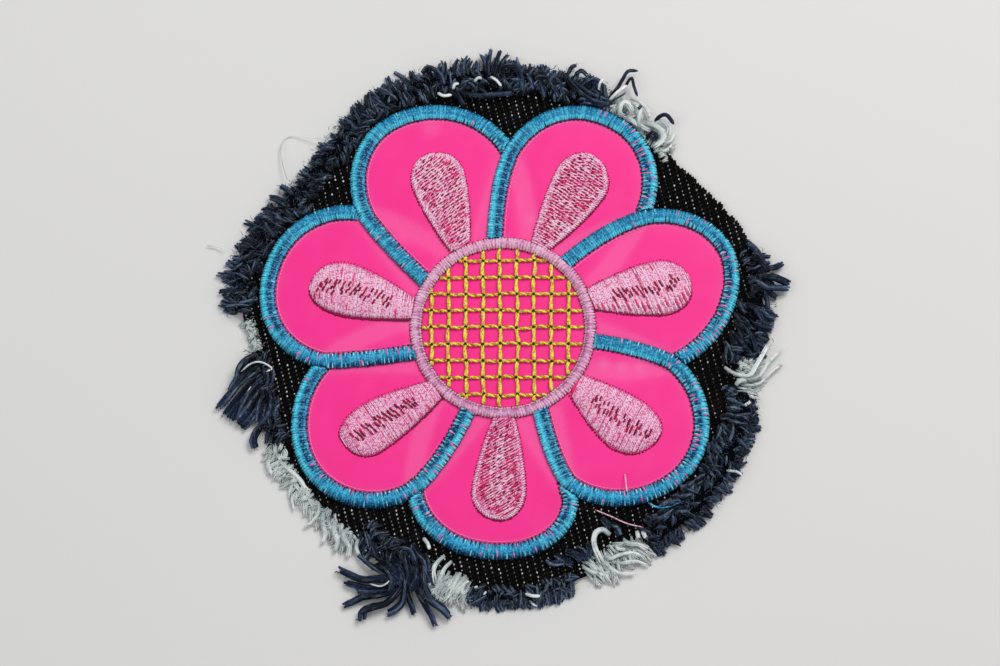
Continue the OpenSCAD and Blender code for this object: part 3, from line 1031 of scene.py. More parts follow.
@dataclass
class DenimBacking:
    """The round piece of black denim: its sheet and its raised twill."""

    cells: int = 92
    thick: float = 1.1
    # Steps from a weft dot to the next one down its line, and to the next line
    down: tuple[float, float] = (0.26, -1.03)
    across: tuple[float, float] = (1.9, -0.36)
    # Lines on each side of the middle
    lines: int = 46
    seed: int = 11

    def sheet(self, shop: Workshop) -> None:
        """Makes the sheet.

        Args:
            shop: Patterns and materials.
        """
        bins = np.arange(0.0, 361.0, 0.5)
        ragged = edge_reach(bins) + 0.25 * np.sin(bins * 1.9) * np.sin(bins * 0.7)
        ragged[-1] = ragged[0]
        cloth = cut_cloth("denim_sheet", ragged - 0.3, bins, self.cells, 1.12, self.thick)
        thicken(cloth, self.thick)
        cloth.data.materials.append(shop.materials["black_denim"])
        hand_in(cloth, "black_denim", "denim_backing")

    def twill(self, shop: Workshop, covered: "tuple[FrayedSection, ...]") -> None:
        """Lays the twill's black lumps and white weft dots where the denim shows.

        Args:
            shop: Patterns and materials.
            covered: Frayed sections, which hide the denim below them.
        """
        rng = np.random.default_rng(self.seed)
        n = self.lines
        i, j = np.meshgrid(np.arange(-n, n + 1), np.arange(-2 * n, 2 * n + 1), indexing="ij")
        x = (i * self.across[0] + j * self.down[0]).ravel()
        y = (i * self.across[1] + j * self.down[1]).ravel()
        bundle = Bundle("denim_twill")
        # A line's white dots, and the two rows of black lumps beside them
        for step in (0.0, 0.6, 1.28):
            px = x + step + rng.normal(0, 0.06, len(x))
            py = y + step * 0.3 + rng.normal(0, 0.07, len(x))
            spots = np.stack([px, py], axis=1)
            bearing, reach = bearing_of(spots) % 360, reach_of(spots)
            limit = edge_reach(bearing) - 0.35
            for section in covered:
                hidden = np.mod(bearing - section.start, 360) < section.stop - section.start
                limit = np.where(hidden, np.minimum(limit, edge_reach(bearing) + section.shift - 0.3), limit)
            spots = spots[(reach > shop.flower.reach(bearing) - 0.9) & (reach < limit)]
            count = len(spots)
            turn = rng.normal(0, 0.1, count)
            if step == 0.0:
                size = rng.uniform(0.1, 0.25, count)
                pattern, slot, length, turn = shop.bead, 1, 0.3 + size, turn + 1.7
                wide, high, z = (size * 1.05)[:, None], size[:, None], 1.22 + size * 0.5
            else:
                pattern, slot, length, turn = shop.lump, 0, rng.uniform(1.05, 1.3, count), turn + 1.95
                wide, high, z = 0.4, 0.26, 1.15 + rng.uniform(0, 0.07, count)
            z = z[:, None] + 0.1 * (1 - np.linspace(-1, 1, pattern.rings) ** 2)
            way = polar(np.degrees(turn), length)
            bundle.marks(pattern, spots, way, z, wide, high, rng.uniform(0, 1, count) ** 2, slot, 0.35)
        self._cut_edge(shop, bundle, rng)
        hand_in(bundle.make(shop.pick("black_denim", "weft_white")), "black_denim")

    def _cut_edge(self, shop: Workshop, bundle: Bundle, rng: np.random.Generator) -> None:
        """Adds the yarn ends and white loops along the bare cut edge.

        Args:
            shop: Patterns and materials.
            bundle: The twill so far.
            rng: Random numbers.
        """
        bearing = np.arange(17.0, 50.0, 1.7)
        bearing = bearing + rng.normal(0, 0.15, len(bearing))
        reach = edge_reach(bearing) - 0.1 + rng.normal(0, 0.2, len(bearing))
        z = 0.75 + 0.35 * np.sin(math.pi * np.linspace(0, 1, shop.lump.rings))
        # Slot, turn along the edge, shift out of it, half width and length of the ends and of the loops
        for slot, turn, out, wide, length in ((0, 0.0, 0.0, 0.8, 2.3), (1, 0.75, 0.3, 0.34, 1.1)):
            way = polar(bearing + turn + 55, length)
            middle = polar(bearing + turn, reach + out - length / 2) + way / 2
            tone = rng.uniform(0.7 * slot, 1, len(bearing))
            bundle.marks(shop.lump, middle, way, z, wide, wide * 0.85, tone, slot, 0.45)


@dataclass
class VinylFlower:
    """The pink vinyl sheet, which puffs up a little between its seams, with painted highlights near its seams
    and on its blisters.
    """

    cells: int = 116
    thick: float = 0.9
    puff: float = 0.2
    seed: int = 5
    # Blisters and creases as x, y, radius and height; the raised ones also get a painted highlight
    blisters: tuple[tuple[float, float, float, float], ...] = (
        (-18.5, 52.0, 4.0, 0.22), (-23.5, 1.0, 3.0, 0.25), (25.0, -9.0, 2.5, 0.3),
        (29.5, -10.0, 2.5, 0.25), (34.0, -10.5, 2.2, 0.25), (20.0, -21.0, 2.0, 0.2),
        (24.0, -26.0, 2.2, -0.2), (-26.0, 22.0, 3.0, 0.2), (7.0, 28.0, 2.5, 0.2),
    )

    def build(self, shop: Workshop) -> None:
        """Makes the vinyl.

        Args:
            shop: Patterns and materials.
        """
        flower = shop.flower
        reach = flower.centre_reach + VINYL_MARGIN * 0.6
        sheet = cut_cloth("vinyl_sheet", reach, flower.bins, self.cells, VINYL_TOP, self.thick)
        co = points_of(sheet.data) / MM
        x, y, r = co[:, 0], co[:, 1], reach_of(co)
        away = np.min([np.abs(flower.depth(co[:, :2], k)) for k in range(len(PETALS))], axis=0) - BORDER_W / 2
        away = np.clip(np.minimum(away, np.abs(r - RING_R + RING_W / 2) - RING_W / 2), 0, None)
        rise = 1 - np.exp(-away / 1.6)
        lift = self.puff * rise * np.where(r < RING_R, 0.5, 1.0) + 0.025 * rise * waves(x, y, 11.0, self.seed)
        # Painted highlight along the seams outside the ring, in soft waves and on the raised blisters
        pale = (0.16 * np.exp(-away / 0.7) + 0.02 * rise * waves(x, y, 9.0, 8)) * (r > RING_R)
        for left, up, size, height in self.blisters:
            gap = ((x - left) ** 2 + (y - up) ** 2) / size**2
            lift += height * np.exp(-gap * 1.5) * rise
            pale += max(height * 0.6, 0) * np.exp(-gap * 3.0)
        co[:, 2] += lift - 0.12
        sheet.data.vertices.foreach_set("co", (co * MM).ravel())
        set_tone(sheet.data, np.clip(pale, 0, 1))
        thicken(sheet, self.thick)
        sheet.data.materials.append(shop.materials["pink_vinyl"])
        hand_in(sheet, "pink_vinyl", "vinyl_flower")


# Embroidery


@dataclass
class SatinBorder:
    """The turquoise satin stitch round one petal."""

    petal: int
    pitch: float = 0.31
    half: float = BORDER_W / 2
    # Half width and half height of a strand, and the share of pink slits
    strand: tuple[float, float] = (0.26, 0.085)
    slits: float = 0.02
    seed: int = 100

    def build(self, shop: Workshop) -> None:
        """Sews the border.

        Args:
            shop: Patterns and materials.
        """
        petal = PETALS[self.petal]
        self._rng = np.random.default_rng(self.seed + self.petal)
        self._shop, self._path = shop, petal.outline(RING_R - RING_W)
        self._bundle = Bundle(f"border_stitches_{petal.name}")
        self._core()
        self._strands()
        self._teeth()
        self._lip()
        self._ladder()
        self._peeps()
        names = ("turquoise_thread", "border_base", "needle_shade_navy", "vinyl_peep", "turquoise_shine")
        hand_in(self._bundle.make(shop.pick(*names)), "turquoise_thread", f"petal_border_{petal.name}")

    def _clear(self, points: Array) -> Array:
        """Tells which points are free of the ring and of the petals that lie over this one.

        Args:
            points: Flat points, in an array of any shape.

        Returns:
            True or false for each.
        """
        flat = points.reshape(-1, 2)
        free = reach_of(flat) > RING_R - 0.1
        for k in OVER[self.petal]:
            free &= self._shop.flower.depth(flat, k) < 0.1 - self.half
        return free.reshape(points.shape[:-1])

    def _height(self, offset: Array, outside: Array) -> Array:
        """Height of the border's arch.

        Args:
            offset: Place across the border, -1 inside to 1 outside.
            outside: Height of the outer foot.

        Returns:
            Heights in millimetres.
        """
        crown = SEWN_Z + BORDER_H - 0.02
        foot = np.where(offset > 0, outside, VINYL_TOP - 0.05)
        return foot + (crown - foot) * np.clip(1 - np.abs(offset) ** 2.6, 0, 1) ** 0.55

    def _feet(self, at: Array, right: Array) -> Array:
        """Height of the border's outer foot: on the denim, or on a neighbour's vinyl.

        Args:
            at: Points of the border's middle line.
            right: Directions out of the petal there.

        Returns:
            The heights, one in each row.
        """
        outer = at + right * self.half
        over = reach_of(outer) - self._shop.flower.reach(bearing_of(outer), border=False)
        return np.where(over > 0.8, DENIM_TOP + 0.2, VINYL_TOP - 0.05)[:, None]

    @staticmethod
    def _chance(right: Array, least: float, aside: float, below: float) -> Array:
        """Chance of a mark, which grows where the border faces right or down the picture."""
        return least + aside * np.clip(right[:, 0], 0, 1) + below * np.clip(-right[:, 1], 0, 1)

    def _core(self) -> None:
        """Pads the border with a low bead whose darker blue is painted shade between the strands, in runs
        that stay clear of the other petals.
        """
        core = self._shop.core
        at, _, _ = spaced(self._path, self.pitch)
        runs = np.flatnonzero(self._clear(at))
        for run in np.split(runs, np.flatnonzero(np.diff(runs) > 1) + 1):
            if len(run) < 6:
                continue
            pick = np.interp(np.linspace(0, 1, core.rings), np.linspace(0, 1, len(run)), run)
            flat = np.stack([np.interp(pick, np.arange(len(at)), at[:, i]) for i in (0, 1)], axis=1)
            profile = rounded(core.rings, 0.7, 12)
            wide = profile * (self.half - 0.3)
            self._bundle.add(core, raised(flat, 2.3)[None], wide, profile * 0.98, 0.5, 1, belly=0.8)

    def _strands(self) -> None:
        """Lays the strands that cross the border side by side."""
        rng, pattern = self._rng, self._shop.fine
        at, heading, right = spaced(self._path, self.pitch)
        count = len(at)
        slant = np.where(np.arange(count) % 2 == 0, 1, -1) * 0.12 + rng.normal(0, 0.05, count)
        reach_in, reach_out = (self.half + 0.05 + rng.normal(0, 0.07, count) for _ in range(2))

        def across(s: Array, kept: Array) -> Array:
            """Finds points on strands.

            Args:
                s: Places across the border, -1 inside to 1 outside.
                kept: Numbers of the strands.

            Returns:
                The flat points.
            """
            offset = s * np.where(s < 0, reach_in[kept, None], reach_out[kept, None])
            slide = heading[kept, None] * (slant[kept, None] * s)[..., None]
            return at[kept, None] + right[kept, None] * offset[..., None] + slide

        fine = np.linspace(-1, 1, 25)
        clear = self._clear(across(fine[None], np.arange(count)))
        low = np.where(clear, fine, 9).min(axis=1)
        high = np.where(clear, fine, -9).max(axis=1)
        kept = np.flatnonzero(high - low > 0.3)
        low, high = low[kept, None], high[kept, None]
        t = 0.5 - 0.5 * np.cos(np.linspace(0, math.pi, pattern.rings))
        s = low + (high - low) * t
        z = self._height(s, self._feet(at, right)[kept]) + rng.normal(0, 0.016, len(kept))[:, None]
        z = np.where(t * (high - low) < 1e-6, z - 0.05, z)
        thick = rounded(pattern.rings, 0.5, 4) * rng.uniform(0.85, 1.1, len(kept))[:, None]
        upward = right[kept, 1]
        # Tone picks the painted highlight and shade bands: 1 where the border faces up the picture, -1 where
        # it faces down
        facing = np.clip((upward - 0.45) * 2.6, 0, 0.98) - np.clip((-0.5 - upward) * 2.6, 0, 0.98)
        facing += rng.uniform(-0.02, 0.02, len(kept))
        wide, high = (thick * size for size in self.strand)
        self._bundle.add(pattern, raised(across(s, kept), z), wide, high, facing)

    def _teeth(self) -> None:
        """Paints shade at the needle points along the border's inner side, wider where it faces right."""
        at, heading, right = spaced(self._path, 1.25)
        root = at - right * (self.half + 0.06 + self._rng.normal(0, 0.05, len(at)))[:, None]
        keep = self._clear(root)
        root, heading, right = root[keep], heading[keep], right[keep]
        way = heading * 0.85 + right * self._rng.uniform(0.2, 0.5, len(root))[:, None]
        wide = 0.3 + 0.16 * np.clip(right[:, :1], 0, 1)
        self._bundle.marks(self._shop.bead, root, way * 0.85, VINYL_TOP + 0.12, wide, 0.2, 0.5, 2, 0.2)

    def _lip(self) -> None:
        """Lays a painted highlight on the pressed vinyl's edge inside the border, where it faces the light.
        """
        at, heading, right = spaced(self._path, 1.1)
        root = at - right * (self.half + 0.62)
        keep = self._clear(root) & (right[:, 0] < 0.85)
        wide = 0.1 + 0.12 * np.clip(0.3 - right[keep, :1], 0, 1)
        way = heading[keep] * 1.24
        self._bundle.marks(self._shop.bead, root[keep], way, VINYL_TOP - 0.02, wide, wide * 0.6, 0.6, 3, 0.6)

    def _ladder(self) -> None:
        """Paints shade in dark gaps between bunches of strands, and highlights on bright bunches, more where
        the border faces right or down the picture.
        """
        rng, pattern = self._rng, self._shop.stitch
        at, heading, right = spaced(self._path, 1.06)
        chance, feet = self._chance(right, 0.06, 0.75, 0.4), self._feet(at, right)
        t = np.linspace(0, 1, pattern.rings) ** 1.5
        profile = 1.1 - 0.8 * t
        # Where a painted-shade gap (slot 2) or a painted-highlight bunch (slot 4) starts and ends, its share,
        # half width and shift
        for first, last, share, wide, shift, slot in (
            (-0.99, -0.35, 0.85, 0.18, 0.0, 2),
            (0.97, 0.45, 0.6, 0.14, 0.0, 2),
            (-0.95, -0.5, 0.85, 0.2, 0.5, 4),
            (0.93, 0.3, 0.9, 0.2, 0.5, 4),
        ):
            part = rng.uniform(0, 1, len(at)) < chance * share
            s = first + (last * rng.uniform(0.5, 1.3, len(at))[:, None] - first) * t
            flat = (at + heading * shift)[:, None] + right[:, None] * (s * self.half)[..., None]
            part &= self._clear(flat).all(axis=1)
            spine = raised(flat, self._height(s, feet) + 0.09)[part]
            tone = rng.uniform(0.1, 0.9, len(spine))
            self._bundle.add(pattern, spine, profile * wide, profile * 0.13, tone, slot)

    def _peeps(self) -> None:
        """Opens slits between strands where the pink below peeps through."""
        rng, pattern = self._rng, self._shop.stitch
        at, heading, right = spaced(self._path, 1.3)
        count = len(at)
        keep = rng.uniform(0, 1, count) < self._chance(right, self.slits, 0.65, 0.2)
        inner = rng.uniform(0, 1, count) < 0.55
        first = np.where(inner, -0.93, 0.93)[:, None]
        last = np.where(inner, rng.uniform(-0.3, 0.2, count), rng.uniform(-0.2, 0.3, count))[:, None]
        s = first + (last - first) * np.linspace(0, 1, pattern.rings)
        shift = rng.uniform(-0.2, 0.2, count)[:, None] * s
        flat = at[:, None] + right[:, None] * (s * self.half)[..., None] + heading[:, None] * shift[..., None]
        keep &= self._clear(flat).all(axis=1)
        spine = raised(flat, self._height(s, self._feet(at, right)) + 0.13)[keep]
        profile = rounded(pattern.rings, 0.2)
        wide = profile * rng.uniform(0.12, 0.22, count)[keep, None]
        self._bundle.add(pattern, spine, wide, profile * 0.12, rng.uniform(0, 1, len(spine)), 3)


@dataclass
class Teardrop:
    """One embroidered drop, sewn in slanting rows over a low dome."""

    number: int
    pitch: float = 0.4
    seed: int = 200

    def build(self, shop: Workshop) -> None:
        """Sews the drop.

        Args:
            shop: Patterns and materials.
        """
        self._rng = np.random.default_rng(self.seed + self.number)
        self._shop, self._drop, self._plan = shop, DROPS[self.number], SEWING[self.number]
        self._root = polar(self._plan.root, RING_R - 0.4)
        # Tables of places along the axis and half widths there, on its two sides
        halves = [self._drop.half(side, 40, 0.0) for side in (1, -1)]
        self._left, self._right = (half[np.argsort(half[:, 0])].T for half in halves)
        self._bundle = Bundle(f"drop_stitches_{self._drop.name}")
        self._dome()
        along = np.arange(-5.0, self._drop.tip + 6.0, self.pitch)
        left, right = self._crossing(along)
        keep = left[:, 1] - right[:, 1] > 0.7
        if self._plan.fill is Fill.COLUMNS:
            self._columns(left[keep], right[keep], along[keep])
        else:
            self._open(left[keep], right[keep])
            self._rim()
        self._teeth()
        piece = self._bundle.make(shop.pick("light_pink_thread", "drop_base", "needle_shade_magenta"))
        hand_in(piece, "light_pink_thread", f"teardrop_{self._drop.name}")

    def _sides(self, along: Array) -> tuple[Array, Array]:
        """The drop's half widths, nought past its tip.

        Args:
            along: Places along its axis.

        Returns:
            The widths to the left and to the right.
        """
        tip = self._left[0][-1]
        inside = np.clip(along, 0, tip)
        left, right = np.interp(inside, *self._left), -np.interp(inside, *self._right)
        return np.where(along > tip, 0, left), np.where(along > tip, 0, right)

    @staticmethod
    def _slope(along: Array, tip: float) -> Array:
        """Share of the dome's height that is left near its tip."""
        return 0.25 + 0.75 * np.clip((tip - along) / 3.0, 0, 1) ** 0.5

    def _height(self, along: Array, across: Array) -> Array:
        """Height of the dome.

        Args:
            along: Places along the drop's axis.
            across: Places across it.

        Returns:
            Heights in millimetres.
        """
        half = np.where(across > 0, *self._sides(along))
        edge = np.clip(np.abs(across) / np.maximum(half, 0.05), 0, 1)
        rise = np.clip(1 - edge**2.4, 0, 1) ** 0.6
        return SEWN_Z + 0.02 + (DROP_H - 0.1) * rise * self._slope(along, self._left[0][-1])

    def _dome(self) -> None:
        """Pads the drop with a hot-pink dome."""
        core, tip = self._shop.core, self._drop.tip
        along = np.linspace(0.1, tip - 0.9, core.rings)
        left, right = self._sides(along)
        spine = raised(self._root + self._drop.point(along, (left - right) / 2), SEWN_Z - 0.1)[None]
        half = np.maximum((left + right) / 2 - 0.8, 0.1)
        high = (DROP_H - 0.28) * self._slope(along, tip)
        self._bundle.add(core, spine, half, high, 0.4, 1, belly=0.2)

    def _lay(
        self,
        first: Array,
        last: Array,
        wide: float,
        slot: int = 0,
        lift: float = 0.08,
        shades: tuple[float, float] = (0.0, 1.0),
        flat: float = 0.6,
        full: bool = False,
    ) -> None:
        """Lays stitches given by their two ends.

        Args:
            first: One end of each, along and across the axis.
            last: The other end of each.
            wide: Half width.
            slot: Material slot.
            lift: How far a stitch's middle stands off the dome.
            shades: Least and most tone.
            flat: Height over width.
            full: True for stitches that cross the whole drop.
        """
        if not len(first):
            return
        pattern = self._shop.fine if full else self._shop.stitch
        t = 0.5 - 0.5 * np.cos(np.linspace(0, math.pi, pattern.rings))
        place = first[:, None] + (last - first)[:, None] * t[:, None]
        along, across = place[..., 0], place[..., 1]
        z = self._height(along, across) + (lift + 0.14) * np.sin(math.pi * t) ** 0.6 - 0.14
        at = self._root + self._drop.point(along, across)
        spine = raised(at, z)[reach_of(at).min(axis=1) > RING_R - 0.2]
        count = len(spine)
        thick = wide * rounded(pattern.rings, 0.4, 3) * self._rng.uniform(0.85, 1.15, count)[:, None]
        self._bundle.add(pattern, spine, thick, thick * flat, self._rng.uniform(*shades, count), slot)

    def _crossing(self, along: Array) -> list[Array]:
        """Finds where slanting rows meet the drop's two edges.

        Args:
            along: Where each row crosses the axis.

        Returns:
            The left ends and the right ends, each along and across.
        """
        across = np.linspace(-9, 9, 181)
        place = along[:, None] + self._plan.slant * across
        left, right = self._sides(place)
        inside = (across < left) & (across > -right) & (place > 0)
        ends = []
        for most in (np.where(inside, across, -99).max(axis=1), np.where(inside, across, 99).min(axis=1)):
            most = np.where(np.abs(most) > 50, 0, most)
            ends.append(np.stack([along + self._plan.slant * most, most], axis=1))
        return ends

    def _columns(self, left: Array, right: Array, along: Array) -> None:
        """Sews two columns that meet down the middle, with rows of dark marks there that paint the shade
        where they meet.

        Args:
            left: Left ends of the rows.
            right: Their right ends.
            along: Where they cross the axis.
        """
        rng, plan, way = self._rng, self._plan, np.array([self._plan.slant, 1.0])
        width = left[:, 1] - right[:, 1]
        centre = (left[:, 1] + right[:, 1]) / 2 + 0.25 * np.sin(along * 2.1) + rng.normal(0, 0.2, len(along))
        meet = np.stack([along + plan.slant * centre, centre], axis=1)
        nudge = rng.normal(0, 0.06, (2,) + left.shape)
        shades = (0.63 - plan.dusk, 1.18 - plan.dusk)
        self._lay(left + nudge[0], right + nudge[1], 0.26, shades=shades, flat=0.3, full=True)
        inner = (width > 5.0) & (along > 6.0) & (along < self._drop.tip - 2.0)
        mark = unit(np.array([plan.mark, 1.0]))
        # Rows of painted-shade marks along the meeting line
        for side, start in ((1.1, 1), (-0.1, 2), (-1.2, 0)):
            share = np.clip(width / 13, 0.3, 0.9)[:, None]
            spots = (meet + way * side * share)[inner][start::3]
            spots = spots[rng.uniform(0, 1, len(spots)) < 0.85]
            spots = spots + rng.normal(0, 0.14, spots.shape)
            reach = mark * rng.uniform(0.6, 1.05, len(spots))[:, None]
            self._lay(spots - reach, spots + reach, 0.26, 2, 0.27)
        # The half that faces down the picture has bold pale stitches with slits between them
        low = right if math.cos(math.radians(self._drop.axis)) > 0 else left
        stop = low + (meet - low) * rng.uniform(0.5, 0.75, len(low))[:, None]
        if plan.bold:
            self._lay(low[::3], stop[::3], 0.27, 0, 0.16, (0.7, 1.0), 0.4)
            self._slits(low[1::3], meet[1::3], 0.7, 0.17)
        else:
            self._slits(low, meet, 0.05, 0.14)
        self._slits(left + right - low, meet, 0.03)

    def _open(self, left: Array, right: Array) -> None:
        """Sews short slanting stitches in rows, with deep pink and dark holes of painted shade in between.

        Args:
            left: Left ends of the rows.
            right: Their right ends.
        """
        rng, plan = self._rng, self._plan
        pale, dusky, holes = [], [], []
        for row, (a, b) in enumerate(zip(left, right)):
            w = a[1] - b[1]
            parts = max(1, int(round(w / 2.7)))
            stagger = 0.25 if row % 2 else -0.25
            cuts = (np.arange(1, parts) + stagger + rng.normal(0, 0.08, parts - 1)) / parts
            stops = np.concatenate([[0.0], cuts, [1.0]])
            for first, last in zip(stops[:-1], stops[1:]):
                trim = rng.uniform(0.05, 0.3) / w
                low, high = first + (trim if first > 0 else 0), last - (trim if last < 1 else 0)
                nudge = np.array([rng.normal(0.08, 0.12), 0.0])
                away = max(abs(low + high - 1), 1 - row * self.pitch / 9)
                bright = rng.uniform() > plan.dusk + plan.sides * away
                (pale if bright else dusky).append((a + (b - a) * low + nudge, a + (b - a) * high - nudge))
            if row % 3 == 0:
                holes += [a + (b - a) * cut for cut in cuts]
        self._lay(*np.swapaxes(pale, 0, 1), 0.2, shades=(0.5, 1.0))
        self._lay(*np.swapaxes(dusky, 0, 1), 0.15 if plan.sides else 0.18, shades=(0.0, 0.3))
        # Painted shade in the holes between stitches
        spots = np.array(holes) + rng.normal(0, 0.1, (len(holes), 2))
        reach = np.array([plan.slant, 1.0]) * rng.uniform(0.2, 0.4, len(spots))[:, None]
        self._lay(spots - reach, spots + reach, 0.2, 2, 0.2)
        for edge in (left, right):
            self._slits(edge, (left + right) / 2, 0.2)

    def _slits(self, edge: Array, inner: Array, chance: float, wide: float = 0.13) -> None:
        """Opens thin deep-pink slits between neighbouring stitches.

        Args:
            edge: Where the rows start.
            inner: Where they end.
            chance: Share of the rows that have a slit beside them.
            wide: Half width.
        """
        keep = self._rng.uniform(0, 1, len(edge)) < chance
        a, b = edge[keep], inner[keep]
        first = self._rng.uniform(0.02, 0.3, len(a))[:, None]
        last = first + self._rng.uniform(0.3, 0.7, len(a))[:, None]
        shift = np.array([self.pitch / 2, 0.0])
        self._lay(a + (b - a) * first + shift, a + (b - a) * last + shift, wide, 1, 0.26)

    def _round(self, pitch: float, inset: float) -> tuple[Array, Array, Array]:
        """Places round the drop's edge outside the ring.

        Args:
            pitch: Distance between them.
            inset: How far inside the outline they lie.

        Returns:
            The places, the direction of the outline there, and the direction out of the drop.
        """
        at, heading, out = spaced(self._root + self._drop.outline(0.0), pitch)
        place = at - out * (inset + self._rng.normal(0, 0.05, len(at)))[:, None]
        keep = reach_of(place) > RING_R + 0.3
        return place[keep], heading[keep], out[keep]

    def _rim(self) -> None:
        """Sews the pale slanting stitches along the drop's edge."""
        rng, pattern = self._rng, self._shop.stitch
        place, heading, out = self._round(0.62, 0.6)
        way = out * rng.uniform(0.8, 1.25, len(place))[:, None]
        way = way + heading * rng.uniform(0.5, 0.8, len(place))[:, None]
        t = np.linspace(-1, 1, pattern.rings)
        z = SEWN_Z + 0.62 - 0.5 * t**2 * np.where(t > 0, 1.0, 0.1)
        tone = rng.uniform(0.55, 1.0, len(place))
        self._bundle.marks(pattern, place, way, z, 0.22, 0.154, tone, 0, 0.5, 3)

    def _teeth(self) -> None:
        """Paints shade at the needle points round the drop's edge, more on the side that faces down the
        picture.
        """
        rng = self._rng
        place, heading, out = self._round(0.85, -0.1)
        low = np.clip(0.3 - out[:, 1], 0, 1) * self._plan.low_edge_shade
        size = rng.uniform(0.25, 0.6, len(place)) * (1 + low)
        way = heading * size[:, None] + out * rng.uniform(-0.2, 0.4, len(place))[:, None]
        wide = (0.1 + 0.18 * low + rng.normal(0, 0.03, len(low)))[:, None]
        self._bundle.marks(self._shop.bead, place, way, VINYL_TOP + 0.17, wide, wide * 0.6, 0.3, 2, 0.3)


@dataclass
class CentreRing:
    """The light pink satin ring round the net."""

    pitch: float = 0.36
    # Half width and half height of a strand
    strand: tuple[float, float] = (0.29, 0.085)
    seed: int = 300

    def build(self, shop: Workshop) -> None:
        """Sews the ring.

        Args:
            shop: Patterns and materials.
        """
        rng, bead = np.random.default_rng(self.seed), shop.bead
        middle, half = RING_R - RING_W / 2, RING_W / 2
        count = int(2 * math.pi * middle / self.pitch)
        bearing = np.arange(count) * 360 / count + rng.normal(0, 0.12, count)
        bundle = Bundle("ring_stitches")
        spine = raised(polar(np.linspace(0, 366, shop.core.rings), middle), SEWN_Z)[None]
        bundle.add(shop.core, spine, half - 0.15, RING_H - 0.2, 0.5, 1, belly=0.2)
        s = -np.cos(np.linspace(0, math.pi, shop.fine.rings))
        out = half + 0.05 + rng.normal(0, 0.06, count)
        slant = np.where(np.arange(count) % 2 == 0, 1.6, -0.4) + rng.normal(0, 0.25, count)
        flat = polar(bearing[:, None] + slant[:, None] * s * 0.45, middle + out[:, None] * s)
        arch = np.clip(1 - np.abs(s) ** 2.4, 0, 1) ** 0.55
        z = VINYL_TOP - 0.05 + (RING_H + 0.05) * arch + rng.normal(0, 0.012, count)[:, None]
        profile = rounded(shop.fine.rings, 0.5, 4) * rng.uniform(0.9, 1.1, count)[:, None]
        # Tone picks the ring's painted bands, brighter where it faces up the picture
        facing = np.clip(0.1 + np.sin(np.radians(bearing)), 0.02, 0.98) + rng.uniform(-0.02, 0.02, count)
        wide, high = (profile * size for size in self.strand)
        bundle.add(shop.fine, raised(flat, z), wide, high, facing)
        # Painted shade at the needle points outside and inside the ring
        for reach, pitch in ((RING_R + 0.15, 3.3), (RING_R - RING_W - 0.15, 4.0)):
            turn = np.arange(0, 360, pitch)[:, None] + np.linspace(-0.6, 0.6, bead.rings)
            spine, profile = raised(polar(turn, reach), VINYL_TOP + 0.1), rounded(bead.rings, 0.25)
            bundle.add(bead, spine, profile * 0.17, profile * 0.1, 0.5, 2)
        piece = bundle.make(shop.pick("ring_thread", "ring_base", "needle_shade_magenta"))
        hand_in(piece, "light_pink_thread", "centre_ring")


